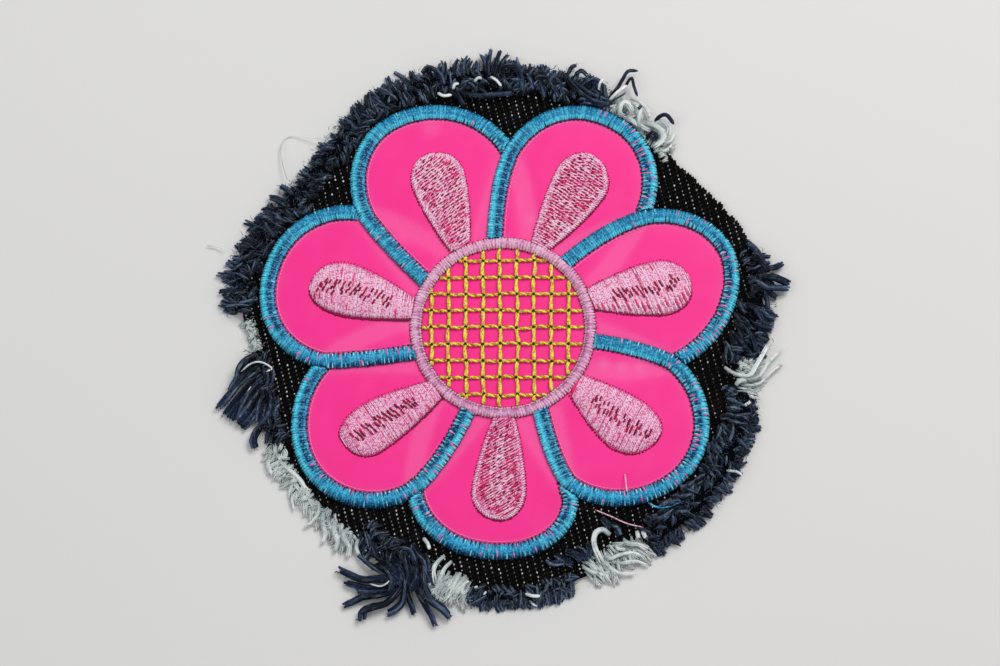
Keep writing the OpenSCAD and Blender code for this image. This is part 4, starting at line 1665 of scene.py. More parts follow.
@dataclass
class CentreNet:
    """The open net of gold thread, one stitch from crossing to crossing."""

    lines: int = 9
    # Half thickness of a ply at its ends and how much it swells, how far it lies from the thread's
    # middle, and the rise of a thread between two crossings
    thick: float = 0.2
    swell: float = 0.075
    apart: float = 0.19
    hump: float = 0.38
    seed: int = 400

    def build(self, shop: Workshop) -> None:
        """Sews the net.

        Args:
            shop: Patterns and materials.
        """
        rng, cord = np.random.default_rng(self.seed), shop.cord
        ends, holes = self._threads(rng)
        t = np.linspace(0, 1, cord.rings)
        a, b = (np.array([end[i] for end in ends]) for i in (0, 1))
        upright = np.array([end[2] for end in ends])[:, None]
        way = b - a
        side = np.stack([-way[:, 1], way[:, 0]], axis=1) / np.linalg.norm(way, axis=1, keepdims=True)
        sway = rng.normal(0, 0.13, len(ends))[:, None] * np.sin(math.pi * t)
        flat = a[:, None] + way[:, None] * t[:, None] + side[:, None] * sway[..., None]
        rise = np.sin(math.pi * t) ** 0.55
        spine = raised(flat, VINYL_TOP + 0.1 + self.hump * rise + 0.1 * upright)
        turn = 2 * math.pi * np.where(upright == 1, 0.7, 1.6) * t + rng.uniform(0, 6, len(ends))[:, None]
        bundle = Bundle("net_stitches")
        # A ply with painted highlight and one with painted shade, twisted round each other
        for ply, shades in ((0, (0.75, 1.0)), (1, (0.0, 0.35))):
            around = turn + math.pi * ply
            offset = raised(side[:, None] * np.cos(around)[..., None], np.sin(around))
            twisted = spine + self.apart * offset
            wide = (self.thick + self.swell * rise) * np.where(upright == 1, 1.18, 1.05)
            # Upright threads get their shaded ply painted lighter, as they catch the light along their length
            tone = rng.uniform(*shades, len(ends)) + 0.45 * upright[:, 0] * ply
            bundle.add(cord, twisted, wide, wide, np.clip(tone, 0, 1))
        # Painted shade in the holes at the crossings
        way = np.broadcast_to([0.7, 0.0], (len(holes), 2))
        bundle.marks(shop.bead, np.array(holes), way, VINYL_TOP + 0.58, 0.5, 0.32, 0.5, 1, 0.4)
        hand_in(bundle.make(shop.pick("gold_thread", "needle_shade_brown")), "gold_thread", "centre_net")

    def _threads(self, rng: np.random.Generator) -> tuple[list[tuple], list[Array]]:
        """Lays out the net.

        Args:
            rng: Random numbers.

        Returns:
            Each stitch's two ends and 1 if it runs up the picture, and the crossings.
        """
        reach = RING_R - RING_W - 0.05
        half = self.lines // 2
        at = np.arange(-half, half + 1) * NET_PITCH
        jitter = rng.normal(0, 0.12, (self.lines, self.lines, 2))
        ends, holes = [], []
        for upright in (0, 1):
            order = slice(None) if upright else slice(None, None, -1)
            shift = 0 if upright else NET_SHIFT
            for i, fixed in enumerate(at):
                line = fixed + (NET_SHIFT if upright else 0)
                room = reach**2 - line**2
                if room <= 4:
                    continue
                far = math.sqrt(room)
                stops = [(value + shift, j) for j, value in enumerate(at) if abs(value + shift) < far - 0.5]
                points = [
                    np.array((line, value)[order]) + (jitter[i, j] if upright else jitter[j, i])
                    for value, j in stops
                ]
                holes += points if upright else []
                points = [np.array((line, -far)[order]), *points, np.array((line, far)[order])]
                pairs = zip(points[:-1], points[1:])
                ends += [(a, b, upright) for a, b in pairs if np.linalg.norm(b - a) > 0.8]
        return ends, holes


# Frayed rim


@dataclass
class FrayedSection:
    """One stretch of the frayed rim, between two bearings."""

    node: str
    yarn: Yarn
    start: float
    stop: float
    shift: float
    wide: float
    tall: float
    length: float
    lean: float
    sweep: float = 0.0
    density: float = 7.0
    thick: float = 0.5
    # Long yarn ends, each a half thickness and the points it runs through
    strands: tuple[tuple[float, Array], ...] = ()
    fuzz: float = 17.0
    # Strength of the painted highlight on the upper plies
    pale: float = 1.0
    # Degrees of the rim that one lock of ends takes
    lock: float = 3.4
    # Half thickness of the finest fibres
    hair: float = 0.09
    seed: int = 500

    def build(self, shop: Workshop) -> None:
        """Makes the section's yarn.

        Args:
            shop: Patterns and materials.
        """
        self._rng = np.random.default_rng(self.seed + int(self.start * 2))
        self._shop, self._bundle = shop, Bundle(self.node + "_yarn")
        kind = self.yarn.value
        if self.yarn is Yarn.INDIGO:
            self._mat()
        self._ends()
        for thick, points in self.strands:
            middle = self._lift_clear(smooth(points, shop.cord.rings)[None], thick * 0.5)
            self._yarns(shop.cord, middle, np.array([thick]), 5, 0.7, 0.5 * self.pale)
            self._fibres(middle[0], thick)
        self._hairs()
        hand_in(self._bundle.make(shop.pick(f"{kind}_yarn", f"{kind}_depth")), f"{kind}_yarn", self.node)

    def _lift_clear(self, spine: Array, room: float) -> Array:
        """Moves points out of the flower and up off the denim or the table.

        Args:
            spine: Points in millimetres.
            room: Half thickness of what follows them.

        Returns:
            The moved points.
        """
        bearing = bearing_of(spine)
        reach = np.maximum(reach_of(spine), self._shop.flower.reach(bearing) + room + 0.1)
        floor = np.where(reach < edge_reach(bearing) - 0.1, DENIM_TOP + 0.1, 0.0) + room * 0.8
        return raised(polar(bearing, reach), np.maximum(spine[..., 2], floor))

    def _mat(self) -> None:
        """Lays the dense mat of yarn that the ends grow from, in a near-black that paints the shade deep in
        the roll.
        """
        core = self._shop.core
        bearing = np.linspace(self.start, self.stop, core.rings)
        wobble = waves(bearing * 1.1, bearing * 0, 6.0, int(self.start) + 1)
        reach = edge_reach(bearing) + self.shift + 0.3 * wobble
        half = self.wide * 0.6
        spine = self._lift_clear(raised(polar(bearing, reach), self.tall * 0.3 + 0.15 * wobble), half * 0.55)
        profile = rounded(core.rings, 0.3, 9) * (1 + 0.12 * wobble)
        self._bundle.add(core, spine[None], profile * half, profile * self.tall * 0.27, 0.4, 1)

    def _yarns(
        self,
        pattern: StrandPattern,
        middle: Array,
        thick: Array,
        plies: int,
        splay: float,
        pale: float | Array,
    ) -> None:
        """Twists plies round middle lines, the upper one with a painted highlight, and splays them at their
        tips.

        Args:
            pattern: The straight strand.
            middle: Middle lines, shaped (yarns, rings, 3).
            thick: Half thickness of each yarn.
            plies: Plies in each.
            splay: How far the tips may open.
            pale: Tone of the upper ply's painted highlight, one for all or one for each yarn.
        """
        rng = self._rng
        count, rings = middle.shape[:2]
        t, thick = np.linspace(0, 1, rings), thick[:, None]
        along = unit(np.gradient(middle, axis=1))
        side = unit(np.cross(UP, along))
        lift = np.cross(along, side)
        phase, twist = rng.normal(math.pi / 2, 1.0, count)[:, None], rng.normal(0, 1.2, count)[:, None]
        away = thick * 0.5 * (1 + rng.uniform(0.0, splay, count)[:, None] * np.clip(t - 0.6, 0, 1) * 2.5)
        profile = (0.75 + 0.35 * np.sin(math.pi * np.clip(t * 1.1, 0, 1))) * np.where(t > 0.99, 0.75, 1.0)
        for ply in range(plies):
            angle = phase + 2 * math.pi * ply / plies + twist * (t - 0.5)
            around = np.cos(angle)[..., None] * side + np.sin(angle)[..., None] * lift
            spine = middle + away[..., None] * around
            trim = 1 - rng.uniform(0, 0.1, count)
            spine = spine[:, :1] + (spine - spine[:, :1]) * trim[:, None, None]
            spine[..., 2] = np.maximum(spine[..., 2], thick * 0.62)
            size = thick * 0.6 * profile * rng.uniform(0.85, 1.15, count)[:, None]
            size = size * rng.uniform(0.86, 1.14, (count, rings))
            # The upper ply is painted lit, the others painted in shade
            shade = rng.uniform(0.3, 1.0, count) if ply == 0 else rng.uniform(0.0, 0.35, count) ** 1.7
            self._bundle.add(pattern, spine, size, size, np.clip(pale * shade, 0, 1))

    def _ends(self) -> None:
        """Grows yarn ends in locks, each layer rooted further in and lying over the last."""
        rng, span, rings = self._rng, self.stop - self.start, self._shop.ply.rings
        t = np.linspace(0, 1, rings)
        locks = max(2, int(round(span / self.lock)))
        # Share of the ends, heights from and to, roots from and to, length and spread
        for share, low, high, inner, outer, size, spread in (
            (0.26, 0.05, 0.4, 0.0, 0.7, 0.8, 0.7),
            (0.28, 0.35, 0.7, -0.8, 0.3, 1.0, 1.1),
            (0.3, 0.65, 0.95, -1.5, -0.3, 1.0, 1.9),
            (0.16, 0.8, 1.05, -1.2, 0.5, 0.8, 2.6),
        ):
            count = int(span * self.density * share)
            bearing = self.start + span * (np.arange(count) + rng.uniform(0.1, 0.9, count)) / count
            lock = (bearing - self.start) / span * locks + rng.normal(0, 0.3, count)
            lock = np.clip(lock, 0, locks - 1).astype(int)
            root = edge_reach(bearing) + self.shift + self.wide * rng.uniform(inner, outer, count)
            long = self.length * size * rng.uniform(0.75, 1.2, count) * rng.uniform(0.75, 1.2, locks)[lock]
            long = long * np.clip(1 + 0.12 * (edge_reach(bearing) - 64), 0.65, 1.1)
            bend = rng.uniform(-1.0, 1.0, locks)[lock] + rng.normal(0, 0.3, count)
            lean = np.radians(self.sweep + self.lean * spread * bend)
            curl = rng.uniform(-0.8, 0.8, locks)[lock] + rng.normal(0, 0.3, count)
            heading = np.radians(bearing)[:, None] + lean[:, None] + curl[:, None] * (t - 0.3)
            step = polar(np.degrees(heading), long[:, None] / (rings - 1))
            start = polar(bearing, root)
            gather = polar(self.start + span * (lock + 0.5) / locks, root) - start
            flat = start[:, None] + np.cumsum(step, axis=1) - step + gather[:, None] * (0.5 * t**1.5)[:, None]
            base = self.tall * rng.uniform(low, high, count)[:, None]
            fall = rng.uniform(0.3, 0.9, count)[:, None] * base
            z = base * 0.75 + base * 0.3 * np.sin(math.pi * t) - fall * t**2
            thick = self.thick * rng.uniform(0.8, 1.25, count)
            mood = self.pale * rng.uniform(0.3, 1.35, locks)[lock]
            middle = self._lift_clear(raised(flat, z), self.thick * 0.7)
            self._yarns(self._shop.ply, middle, thick, 3, 0.9, mood)

    def _fibres(self, middle: Array, thick: float) -> None:
        """Adds the short fibres that stand off one long end.

        Args:
            middle: The end's middle line.
            thick: Its half thickness.
        """
        rng, hair = self._rng, self._shop.hair
        count = int(np.linalg.norm(np.diff(middle, axis=0), axis=1).sum() * 5.5)
        at = rng.uniform(0.04, 0.93, count) * (len(middle) - 1)
        places = np.stack([np.interp(at, np.arange(len(middle)), middle[:, i]) for i in range(3)], axis=1)
        way = unit(np.gradient(middle, axis=0)[np.rint(at).astype(int)])
        out = unit(rng.normal(0, 1, (count, 3)))
        t = np.linspace(0, 1, hair.rings)
        reach = thick * 0.6 + t * rng.uniform(0.3, 0.75, count)[:, None]
        spine = places[:, None] + (out + way * 0.5)[:, None] * reach[..., None]
        spine[..., 2] = np.maximum(spine[..., 2], 0.12)
        size = self.hair * (1.15 - t)
        self._bundle.add(hair, spine, size, size, rng.uniform(0.2, 0.8, count))

    def _hairs(self) -> None:
        """Adds the fine fibres that soften the yarn's outline."""
        rng, hair, span = self._rng, self._shop.hair, self.stop - self.start
        count = int(span * self.fuzz)
        t = np.linspace(0, 1, hair.rings)
        bearing = self.start + span * rng.uniform(0, 1, count)
        root = edge_reach(bearing) + self.shift + self.wide * rng.uniform(-0.8, 1.25, count)
        root += 0.5 * (self.length - 4.0)
        heading = np.radians(bearing + rng.normal(0, 60, count))
        long = rng.uniform(0.7, 1.6, count)
        angle = heading[:, None] + rng.normal(0, 2.2, count)[:, None] * t
        step = polar(np.degrees(angle), long[:, None] / (len(t) - 1))
        z = rng.uniform(0.4, self.tall + 0.4, count)[:, None] + rng.normal(0, 0.5, count)[:, None] * t
        spine = raised(polar(bearing, root)[:, None] + np.cumsum(step, axis=1), z)
        size = self.hair * (1.1 - t)
        self._bundle.add(hair, self._lift_clear(spine, 0.1), size, size, rng.uniform(0.4, 1, count))


def strands(*rows: tuple[float, ...]) -> tuple[tuple[float, Array], ...]:
    """Reads rows of a half thickness, then x, y and z of each point, in millimetres."""
    return tuple((row[0], np.array(row[1:]).reshape(-1, 3)) for row in rows)


TOP_STRANDS = strands(
    (0.65, -20.5, 66.5, 2, -19, 67.9, 2.8, -16.8, 66.8, 3.4, -15.2, 65, 3.6, -14.6, 63, 3.2),
    (0.6, -12.5, 62.8, 3.4, -9.5, 60.6, 3, -5.5, 60, 2.8, -1.5, 60.2, 3, 3.5, 60.6, 3),
    (0.5, -4, 66, 3, -3.6, 69.5, 2.6, -3, 73.2, 1.6),
    (0.55, -2.5, 66, 3.2, -1.6, 69.5, 2.8, -0.7, 72.6, 2),
    (0.5, -1, 66, 2.8, -0.2, 69.5, 2.4, 1.4, 71.9, 1.4),
    (0.5, -4, 66.5, 2.2, -4.6, 69.5, 2, -5.6, 71.8, 1.2),
    (0.6, -0.5, 67.5, 3, 1.5, 68.2, 3.4, 3.8, 67.3, 3.6, 4.7, 64.8, 3.6, 4.8, 61.5, 3),
    (0.55, 6, 66, 3.2, 7, 64.2, 3.6, 7.6, 61.8, 3),
    (0.6, 9, 65.5, 3.2, 10, 63, 3.6, 10.6, 59.6, 2.8),
    (0.55, 12, 64.5, 3.2, 13, 62, 3.4, 14.2, 59.8, 2.8),
    (0.6, 15.8, 66, 3, 17.2, 63.2, 3.6, 20.5, 60, 3.4, 24, 58, 3.2, 27.5, 57.4, 3),
    (0.55, 18, 64, 3, 21, 61.5, 3.2, 24.5, 59.8, 3, 27.5, 59, 2.6),
    (0.5, 16.5, 66, 2.8, 17.5, 68, 2.2, 18.6, 69, 1.4),
    (0.5, 18.5, 66, 2.8, 20, 67, 2.4, 21.4, 66.2, 1.6),
    (0.5, 21.6, 62.2, 2.8, 22, 64, 3.2, 23.5, 64.6, 3.2, 25, 63.9, 2.6),
    (0.55, -20, 61, 3.4, -19.4, 59, 3, -18.6, 57.2, 2.6),
    (0.55, -26, 60, 3.4, -24.8, 58, 3, -24.4, 56, 2.6),
    (0.5, -12.4, 62, 3.4, -11.2, 59.8, 3, -9.9, 57.6, 2.6),
)
LEFT_STRANDS = strands(
    (0.9, -60.6, -9, 2.2, -63.8, -11.6, 2.6, -66.6, -15.4, 2.2, -69.8, -19.4, 1.2),
    (0.9, -60, -13.4, 2.4, -63.2, -17, 2.6, -66, -20.4, 2, -68.4, -22.9, 1),
    (0.85, -59.4, -15.4, 2.4, -62.2, -19, 2.4, -64.4, -22, 1.8, -66.2, -24.3, 1),
    (0.85, -58.8, -17.4, 2.2, -61, -20.8, 2.2, -62.8, -23.6, 1.4, -64.6, -25.6, 0.9),
    (0.8, -58.4, -15.6, 3.4, -57.6, -18.8, 3.2, -58.2, -22, 2.4, -60.2, -24.6, 1.6),
    (0.9, -61, -7.4, 2.4, -63.6, -8.4, 3, -65.6, -10.8, 3.2, -66.4, -13.6, 2.8, -68.4, -16.8, 1.8),
    (0.85, -60.5, -10.6, 2.8, -63.2, -12.4, 3.4, -66.6, -15.6, 2.8, -69.4, -18.6, 1.6, -71, -20.4, 0.9),
    (0.85, -60, -12.4, 3, -63, -15, 3.4, -66, -18.4, 2.6, -68.4, -21, 1.6, -69.4, -22.2, 0.9),
    (0.8, -60.5, -14.4, 3, -63.4, -17.6, 3.2, -65.4, -20.6, 2.2, -67, -23.6, 1),
    (0.8, -59.5, -16, 3, -61.4, -19.6, 3, -63, -22.6, 2, -65.4, -24.8, 0.9),
    (0.65, -59, -17, 2.6, -60.6, -20.6, 2.6, -61.2, -23.8, 1.4),
    (0.6, -58.2, -18, 2.2, -59.6, -21.4, 2.4, -59.6, -24.8, 1.6),
    (0.5, -59.4, -18.6, 2.2, -57.6, -18.6, 2.6, -56.4, -20.8, 1.8),
    (0.95, -59.8, -24.6, 1.6, -61.2, -26.6, 1.6, -61.9, -28.6, 1.4, -61.4, -30.4, 1),
)
FRINGE_STRANDS = strands(
    (0.75, 10.6, -58.6, 1.9, 12.6, -59.4, 2.4, 14.8, -58.8, 2.2),
    (0.75, 13, -57.2, 1.9, 15, -58.4, 2.5, 17, -59.6, 2),
    (0.8, 15.4, -56.4, 1.9, 17.6, -57, 2.6, 19.6, -58.6, 2.2),
    (0.75, 18, -55.4, 1.9, 19.6, -56.4, 2.5, 20.6, -58.4, 2),
    (0.7, 20.6, -54.2, 1.9, 21.4, -55.8, 2.3, 20.9, -57.6, 2),
    (0.75, 24.4, -48.2, 2, 25.8, -49.8, 2.6, 25.2, -51.2, 2.2),
    (0.7, 26.6, -49.4, 2, 28, -50.6, 2.4, 28.4, -52.2, 2),
)
UPPER_LEFT_STRANDS = strands(
    (0.75, -52.8, 34.3, 2.4, -54.6, 35.9, 2, -56.2, 37, 1.2),
    (0.8, -53.7, 31, 2.6, -56.6, 33.2, 2.2, -58.9, 34, 1.2),
    (0.8, -56.1, 28.6, 2.6, -58.8, 30.6, 2.2, -60.8, 30.6, 1.2),
    (0.8, -57.1, 26.6, 2.6, -60.2, 28.6, 2.2, -62.3, 28.4, 1.2),
    (0.75, -58.4, 23.6, 2.6, -61.2, 25.6, 2, -63.3, 25, 1.2),
)
TASSEL_STRANDS = strands(
    (0.65, -26, -63, 2.6, -29.5, -61.6, 2.4, -33, -59.4, 1.8, -36, -57, 1.2),
    (0.95, -25, -63.8, 3, -30, -63.1, 2.6, -35, -63.2, 2, -38.6, -61.7, 1.4, -41, -60.4, 1.2),
    (0.8, -25.5, -65, 2, -29.5, -65.5, 1.8, -34.5, -65.2, 1.4, -39.2, -63.9, 0.9),
    (0.7, -25, -66, 2.4, -29, -66.4, 2.2, -33, -66.4, 1.6, -36.2, -66, 1),
    (0.8, -25, -66, 2.6, -30, -67, 2.2, -34.4, -67.5, 1.6, -37, -68.6, 1.2, -39.2, -69.6, 0.8),
    (0.9, -25, -65.5, 3, -28.5, -69.2, 2.4, -32.5, -70.3, 1.8, -34.8, -71.4, 1.4, -35.1, -73.6, 1),
    (0.75, -24.4, -62.6, 3.6, -24.2, -66, 3.2, -24.7, -69.2, 2.2, -26.6, -71, 1.4, -28.4, -71.9, 0.9),
    (0.65, -23.8, -64, 2.2, -23.2, -67.5, 1.8, -22.2, -70, 1.2, -21.6, -71.8, 0.8),
    (0.7, -21.6, -61, 3.6, -21, -66, 2.8, -19.2, -69.4, 1.8, -17.4, -72.4, 1.2, -16.4, -75, 0.9),
    (0.95, -19.6, -60, 3.6, -19.4, -65, 3, -17.6, -68.8, 2.2, -14.8, -70.8, 1.6, -12.8, -72.9, 1.1),
    (0.6, -22, -54.4, 2.2, -21, -56.6, 2.8, -19.4, -59.2, 3.4, -19, -62.5, 3.6),
    (0.6, -25.5, -58, 2.6, -23.4, -59.8, 3.2, -21.8, -61.8, 3.6),
    (0.6, -28, -56, 2.2, -25, -55.6, 2.6, -22.6, -56.4, 3.2, -21.6, -59, 3.6),
    (0.6, -19.2, -57, 2.6, -18.2, -59.6, 3, -18.2, -63, 3, -16.8, -65.6, 2),
    (0.6, -28.5, -58.5, 2.4, -26.5, -60.2, 2.8, -25, -62.6, 3.4, -24.6, -65.4, 3.2),
    (0.6, -30.5, -61, 2.2, -27.5, -62.4, 2.8, -25.6, -64.6, 3.2),
    (0.75, -31, -57.5, 2.4, -28.5, -60, 3.2, -26, -62.5, 3.6, -23.5, -64.5, 3.2),
    (0.75, -27.5, -57, 2.6, -26, -59.5, 3.4, -24.8, -62.5, 3.8, -25.4, -65.2, 3.2),
    (0.7, -24, -56.5, 2.6, -23.6, -59.5, 3.6, -22.8, -62.5, 3.8, -23.4, -65.4, 3.2),
    (0.7, -21.5, -57.5, 2.8, -21.4, -60.5, 3.6, -21.2, -63.5, 3.6, -22.4, -66.4, 2.8),
    (0.65, -29, -60.5, 3, -27, -63.5, 3.6, -27.4, -66.5, 2.6),
)
RIGHT_STRANDS = strands(
    (0.85, 65.2, 14, 2.2, 64.4, 17.6, 2.8, 63.2, 20.4, 2.2, 61.2, 22.8, 1.2),
    (0.75, 64, 13.6, 2.6, 66.4, 15, 2.6, 68.6, 15.8, 1.8, 70.2, 16.8, 1.1),
    (0.9, 64, 12.6, 3, 66.6, 12.9, 3.2, 69.4, 12.4, 2.4, 71.8, 11.4, 1.4),
    (0.75, 61.6, 11.4, 2.8, 63.4, 11.8, 3.4, 65.6, 10, 3.4, 68.4, 10, 2.6, 71.6, 10.2, 1.4),
    (0.65, 63, 10, 2.4, 65.4, 9.6, 2.6, 67, 8.9, 2, 68.7, 8, 1),
    (0.6, 61.5, 14.6, 2.2, 63.5, 15, 2.8, 65.8, 16.4, 2.2, 66.6, 17, 1.4),
)
RIGHT_ROLL_STRANDS = strands(
    (0.6, 65.2, 9.4, 2.8, 65.8, 7.2, 3, 66.2, 4.6, 2.6),
    (0.65, 64.6, 5, 3.2, 65.4, 2.8, 2.8, 67.6, 2.4, 1.6),
    (0.65, 63, 1.4, 3.2, 65, 0.2, 2.8, 67.2, 0, 1.6),
    (0.6, 60.6, 5.6, 3.2, 62.4, 5, 3.6, 64.4, 2.6, 3.4, 65.4, -0.4, 2.8),
    (0.55, 59.4, 0.6, 3.4, 60.8, -1, 3.8, 62.4, -3.6, 3.4, 63.2, -6.4, 2.6),
    (0.55, 57, -1.6, 3.4, 58.6, -3.4, 3.8, 60.4, -5.6, 3.4, 62, -7.4, 2.6),
)
WHITE_RIGHT = strands(
    (0.42, 55, -10.3, 3.4, 57.6, -12.1, 3.6, 61.4, -12.7, 3.2, 63.6, -9.6, 2.8, 66.8, -4, 2),
    (0.38, 59.4, -13.4, 3, 63.6, -12.6, 2.6, 66, -9, 2, 69.6, -5.2, 1),
    (0.38, 60, -14.8, 2.4, 64, -14.2, 2, 67, -11.2, 1.4, 69.8, -9, 0.8),
    (0.6, 57.8, -14.8, 2.6, 58.8, -13.6, 3, 60.4, -13.4, 2.8),
    (0.5, 59, -20.4, 2.2, 60, -19.8, 2.6, 61.2, -18.8, 2),
    (0.4, 59, -22, 2.4, 59.8, -21.7, 2.6),
    (0.35, 60.6, -17, 2.2, 62, -17.6, 1.8, 63.6, -17.8, 0.9),
)
WHITE_TOP_RIGHT = strands(
    (0.55, 29.8, 53, 3.8, 29.4, 55.6, 4.1, 30, 57.9, 4, 31.4, 58.4, 3.8, 32.8, 56.2, 3.2),
    (0.5, 34.5, 51.6, 3.6, 34.3, 54.2, 3.8, 34.8, 56.6, 3.2, 33.8, 58, 2.4),
    (0.6, 36, 53, 3, 38.6, 52.2, 3.2, 40.6, 50.4, 3, 40.4, 48.4, 2.6, 38.2, 46.8, 2),
    (0.5, 31.5, 54.6, 3.2, 33, 53.2, 3.4, 35.4, 51.8, 3, 37.6, 51, 2.4),
    (0.45, 38, 52.8, 2.6, 40.4, 53.6, 2.8, 42.2, 52, 2.2, 42, 50, 1.6),
    (0.45, 32.4, 59.6, 2.4, 34.4, 59, 2, 36.6, 57, 1.6, 37.4, 54.6, 1.4),
    (0.4, 40.6, 48, 2, 42.4, 48.6, 1.6, 43.6, 50.6, 1),
    (0.4, 39.4, 46, 2, 41.6, 46.2, 1.8, 43, 47.8, 1.2),
)
WHITE_LOW_RIGHT = strands(
    (0.6, 26.2, -52.2, 2.6, 24.4, -51, 3.2, 22.5, -52, 3.4, 22.2, -55, 3.2, 24.2, -59.2, 2.2),
    (0.4, 24, -59, 2.2, 26.4, -60.2, 1.8, 28.6, -61.6, 1.4, 32.6, -61.8, 0.8),
    (0.35, 19.5, -60.2, 2.4, 21.2, -61.1, 2, 23.2, -61.8, 1.4, 26, -62.2, 0.8),
    (0.5, 29.6, -54.2, 2.8, 31.4, -54.6, 3, 33.6, -54.8, 2.6, 35.4, -55.8, 1.8),
    (0.42, 25, -57.4, 2.6, 26.4, -58.2, 2.4, 28.6, -57.2, 2.4, 31.6, -56.6, 1.8, 34.6, -57.4, 1),
    (0.42, 26.6, -58.8, 2.2, 29.4, -59.2, 1.8, 33, -58.6, 1.4, 36, -59.6, 0.8),
    (0.5, 32.8, -51.4, 3.2, 33.2, -53.2, 3.2),
    (0.5, 34.2, -51.4, 3.2, 35, -53.2, 3.2),
    (0.4, 27.6, -54.6, 2.8, 28.2, -55.8, 2.8, 30, -56, 2.4),
)
WHITE_BOTTOM = strands(
    (0.5, -14.4, -57.4, 2.2, -16.2, -59.2, 2.8, -17.2, -61.4, 3, -16.8, -64.2, 2.4),
    (0.45, -12.6, -58.8, 2.2, -14.4, -60.8, 2.8, -15.6, -63.6, 2.4, -16.2, -65.8, 1.4),
    (0.45, -10.4, -61.6, 2.4, -12, -64.6, 2.6, -13.4, -67.8, 1.4),
    (0.45, -9.6, -63.6, 2.4, -10.8, -66, 2.2, -12.4, -68.6, 1),
    (0.4, -8.6, -63.4, 2.2, -9.8, -65, 2.4, -10.2, -68.6, 1),
)
WHITE_LEFT = strands(
    (0.5, -55.4, -33.4, 1.4, -53, -35.8, 1.8, -50, -38.4, 1.8, -48.2, -41.4, 1.4),
    (0.45, -45.6, -44, 1.8, -45.4, -46.6, 1.8, -47, -49, 1.2, -49, -50.4, 0.7),
    (0.55, -44.2, -46.6, 1.8, -44.4, -49, 1.6, -43.6, -52, 1, -44.4, -54.4, 0.7),
    (0.6, -41.4, -48.8, 2, -41.4, -51.6, 1.8, -40.6, -54, 1.4, -41.2, -56.4, 0.8),
    (0.6, -38.4, -51, 2.2, -39.2, -52.8, 2.2, -37.8, -55.2, 1.6, -38, -57.6, 0.8),
    (0.45, -35.6, -53.2, 2.2, -36, -55.2, 1.8, -35.4, -57, 1),
    (0.4, -57.4, -31.6, 1.6, -58, -34.6, 1.4, -57, -37.4, 0.8),
    (0.35, -50.6, -41, 1.4, -52, -43, 1, -51.6, -46, 0.7),
)
SECTIONS = (
    FrayedSection("indigo_roll_top", Yarn.INDIGO, 66, 118, -0.4, 3, 3.6, 4.5, 28, 0, 5.2, 0.68,
        TOP_STRANDS, pale=1.3),
    FrayedSection("indigo_roll_upper_left", Yarn.INDIGO, 118, 176.5, -0.2, 3, 3.6, 4.2, 30, 15, 5.5,
        0.68, UPPER_LEFT_STRANDS),
    FrayedSection("white_fuzz_left", Yarn.WHITE, 178, 185.5, -0.8, 1.2, 2.2, 1.4, 25, thick=0.34, fuzz=8),
    FrayedSection("indigo_tuft_left", Yarn.INDIGO, 185.5, 207, -0.6, 2, 3, 4, 20, 38, 6, 0.55,
        LEFT_STRANDS),
    FrayedSection("white_fuzz_lower_left", Yarn.WHITE, 207, 235, 1.5, 1.7, 2, 4, 28, 25, 6.5, 0.46,
        WHITE_LEFT, fuzz=8),
    FrayedSection("indigo_tassel_lower_left", Yarn.INDIGO, 236, 254, -3.2, 2.6, 3.4, 4.2, 30, 0, 6,
        strands=TASSEL_STRANDS),
    FrayedSection("white_tuft_bottom", Yarn.WHITE, 254.5, 263, -1.6, 2.2, 2.6, 5.8, 20, -10, 12, 0.42,
        WHITE_BOTTOM, fuzz=8),
    FrayedSection("indigo_fringe_bottom", Yarn.INDIGO, 263, 285, -0.3, 1.8, 2.8, 3.3, 24, 0, 6.5, 0.52,
        FRINGE_STRANDS, pale=3.0, lock=2.6),
    FrayedSection("white_curls_lower_right", Yarn.WHITE, 288, 303, -1.6, 2.2, 2.2, 4.6, 25, 20, 6, 0.38,
        WHITE_LOW_RIGHT, fuzz=8),
    FrayedSection("indigo_roll_lower_right", Yarn.INDIGO, 303, 344.5, -1.9, 3.4, 3.6, 3.8, 34, 10, 5.6,
        0.84, lock=4.2),
    FrayedSection("white_tuft_right", Yarn.WHITE, 344.5, 353, -0.6, 2, 2.4, 5, 20, 25, 5.5, 0.36,
        WHITE_RIGHT, fuzz=8),
    FrayedSection("indigo_roll_right", Yarn.INDIGO, 353, 367, -2, 3.6, 3.6, 5, 20, -45, 7.4, 0.64,
        strands=RIGHT_ROLL_STRANDS),
    FrayedSection("indigo_tuft_right", Yarn.INDIGO, 367, 377, -0.8, 2, 3, 3.4, 20, density=5.0,
        strands=RIGHT_STRANDS),
    FrayedSection("white_curls_top_right", Yarn.WHITE, 47, 66, 0.2, 2.2, 2.4, 3.6, 30, 0, 5.5, 0.38,
        WHITE_TOP_RIGHT, fuzz=8),
)

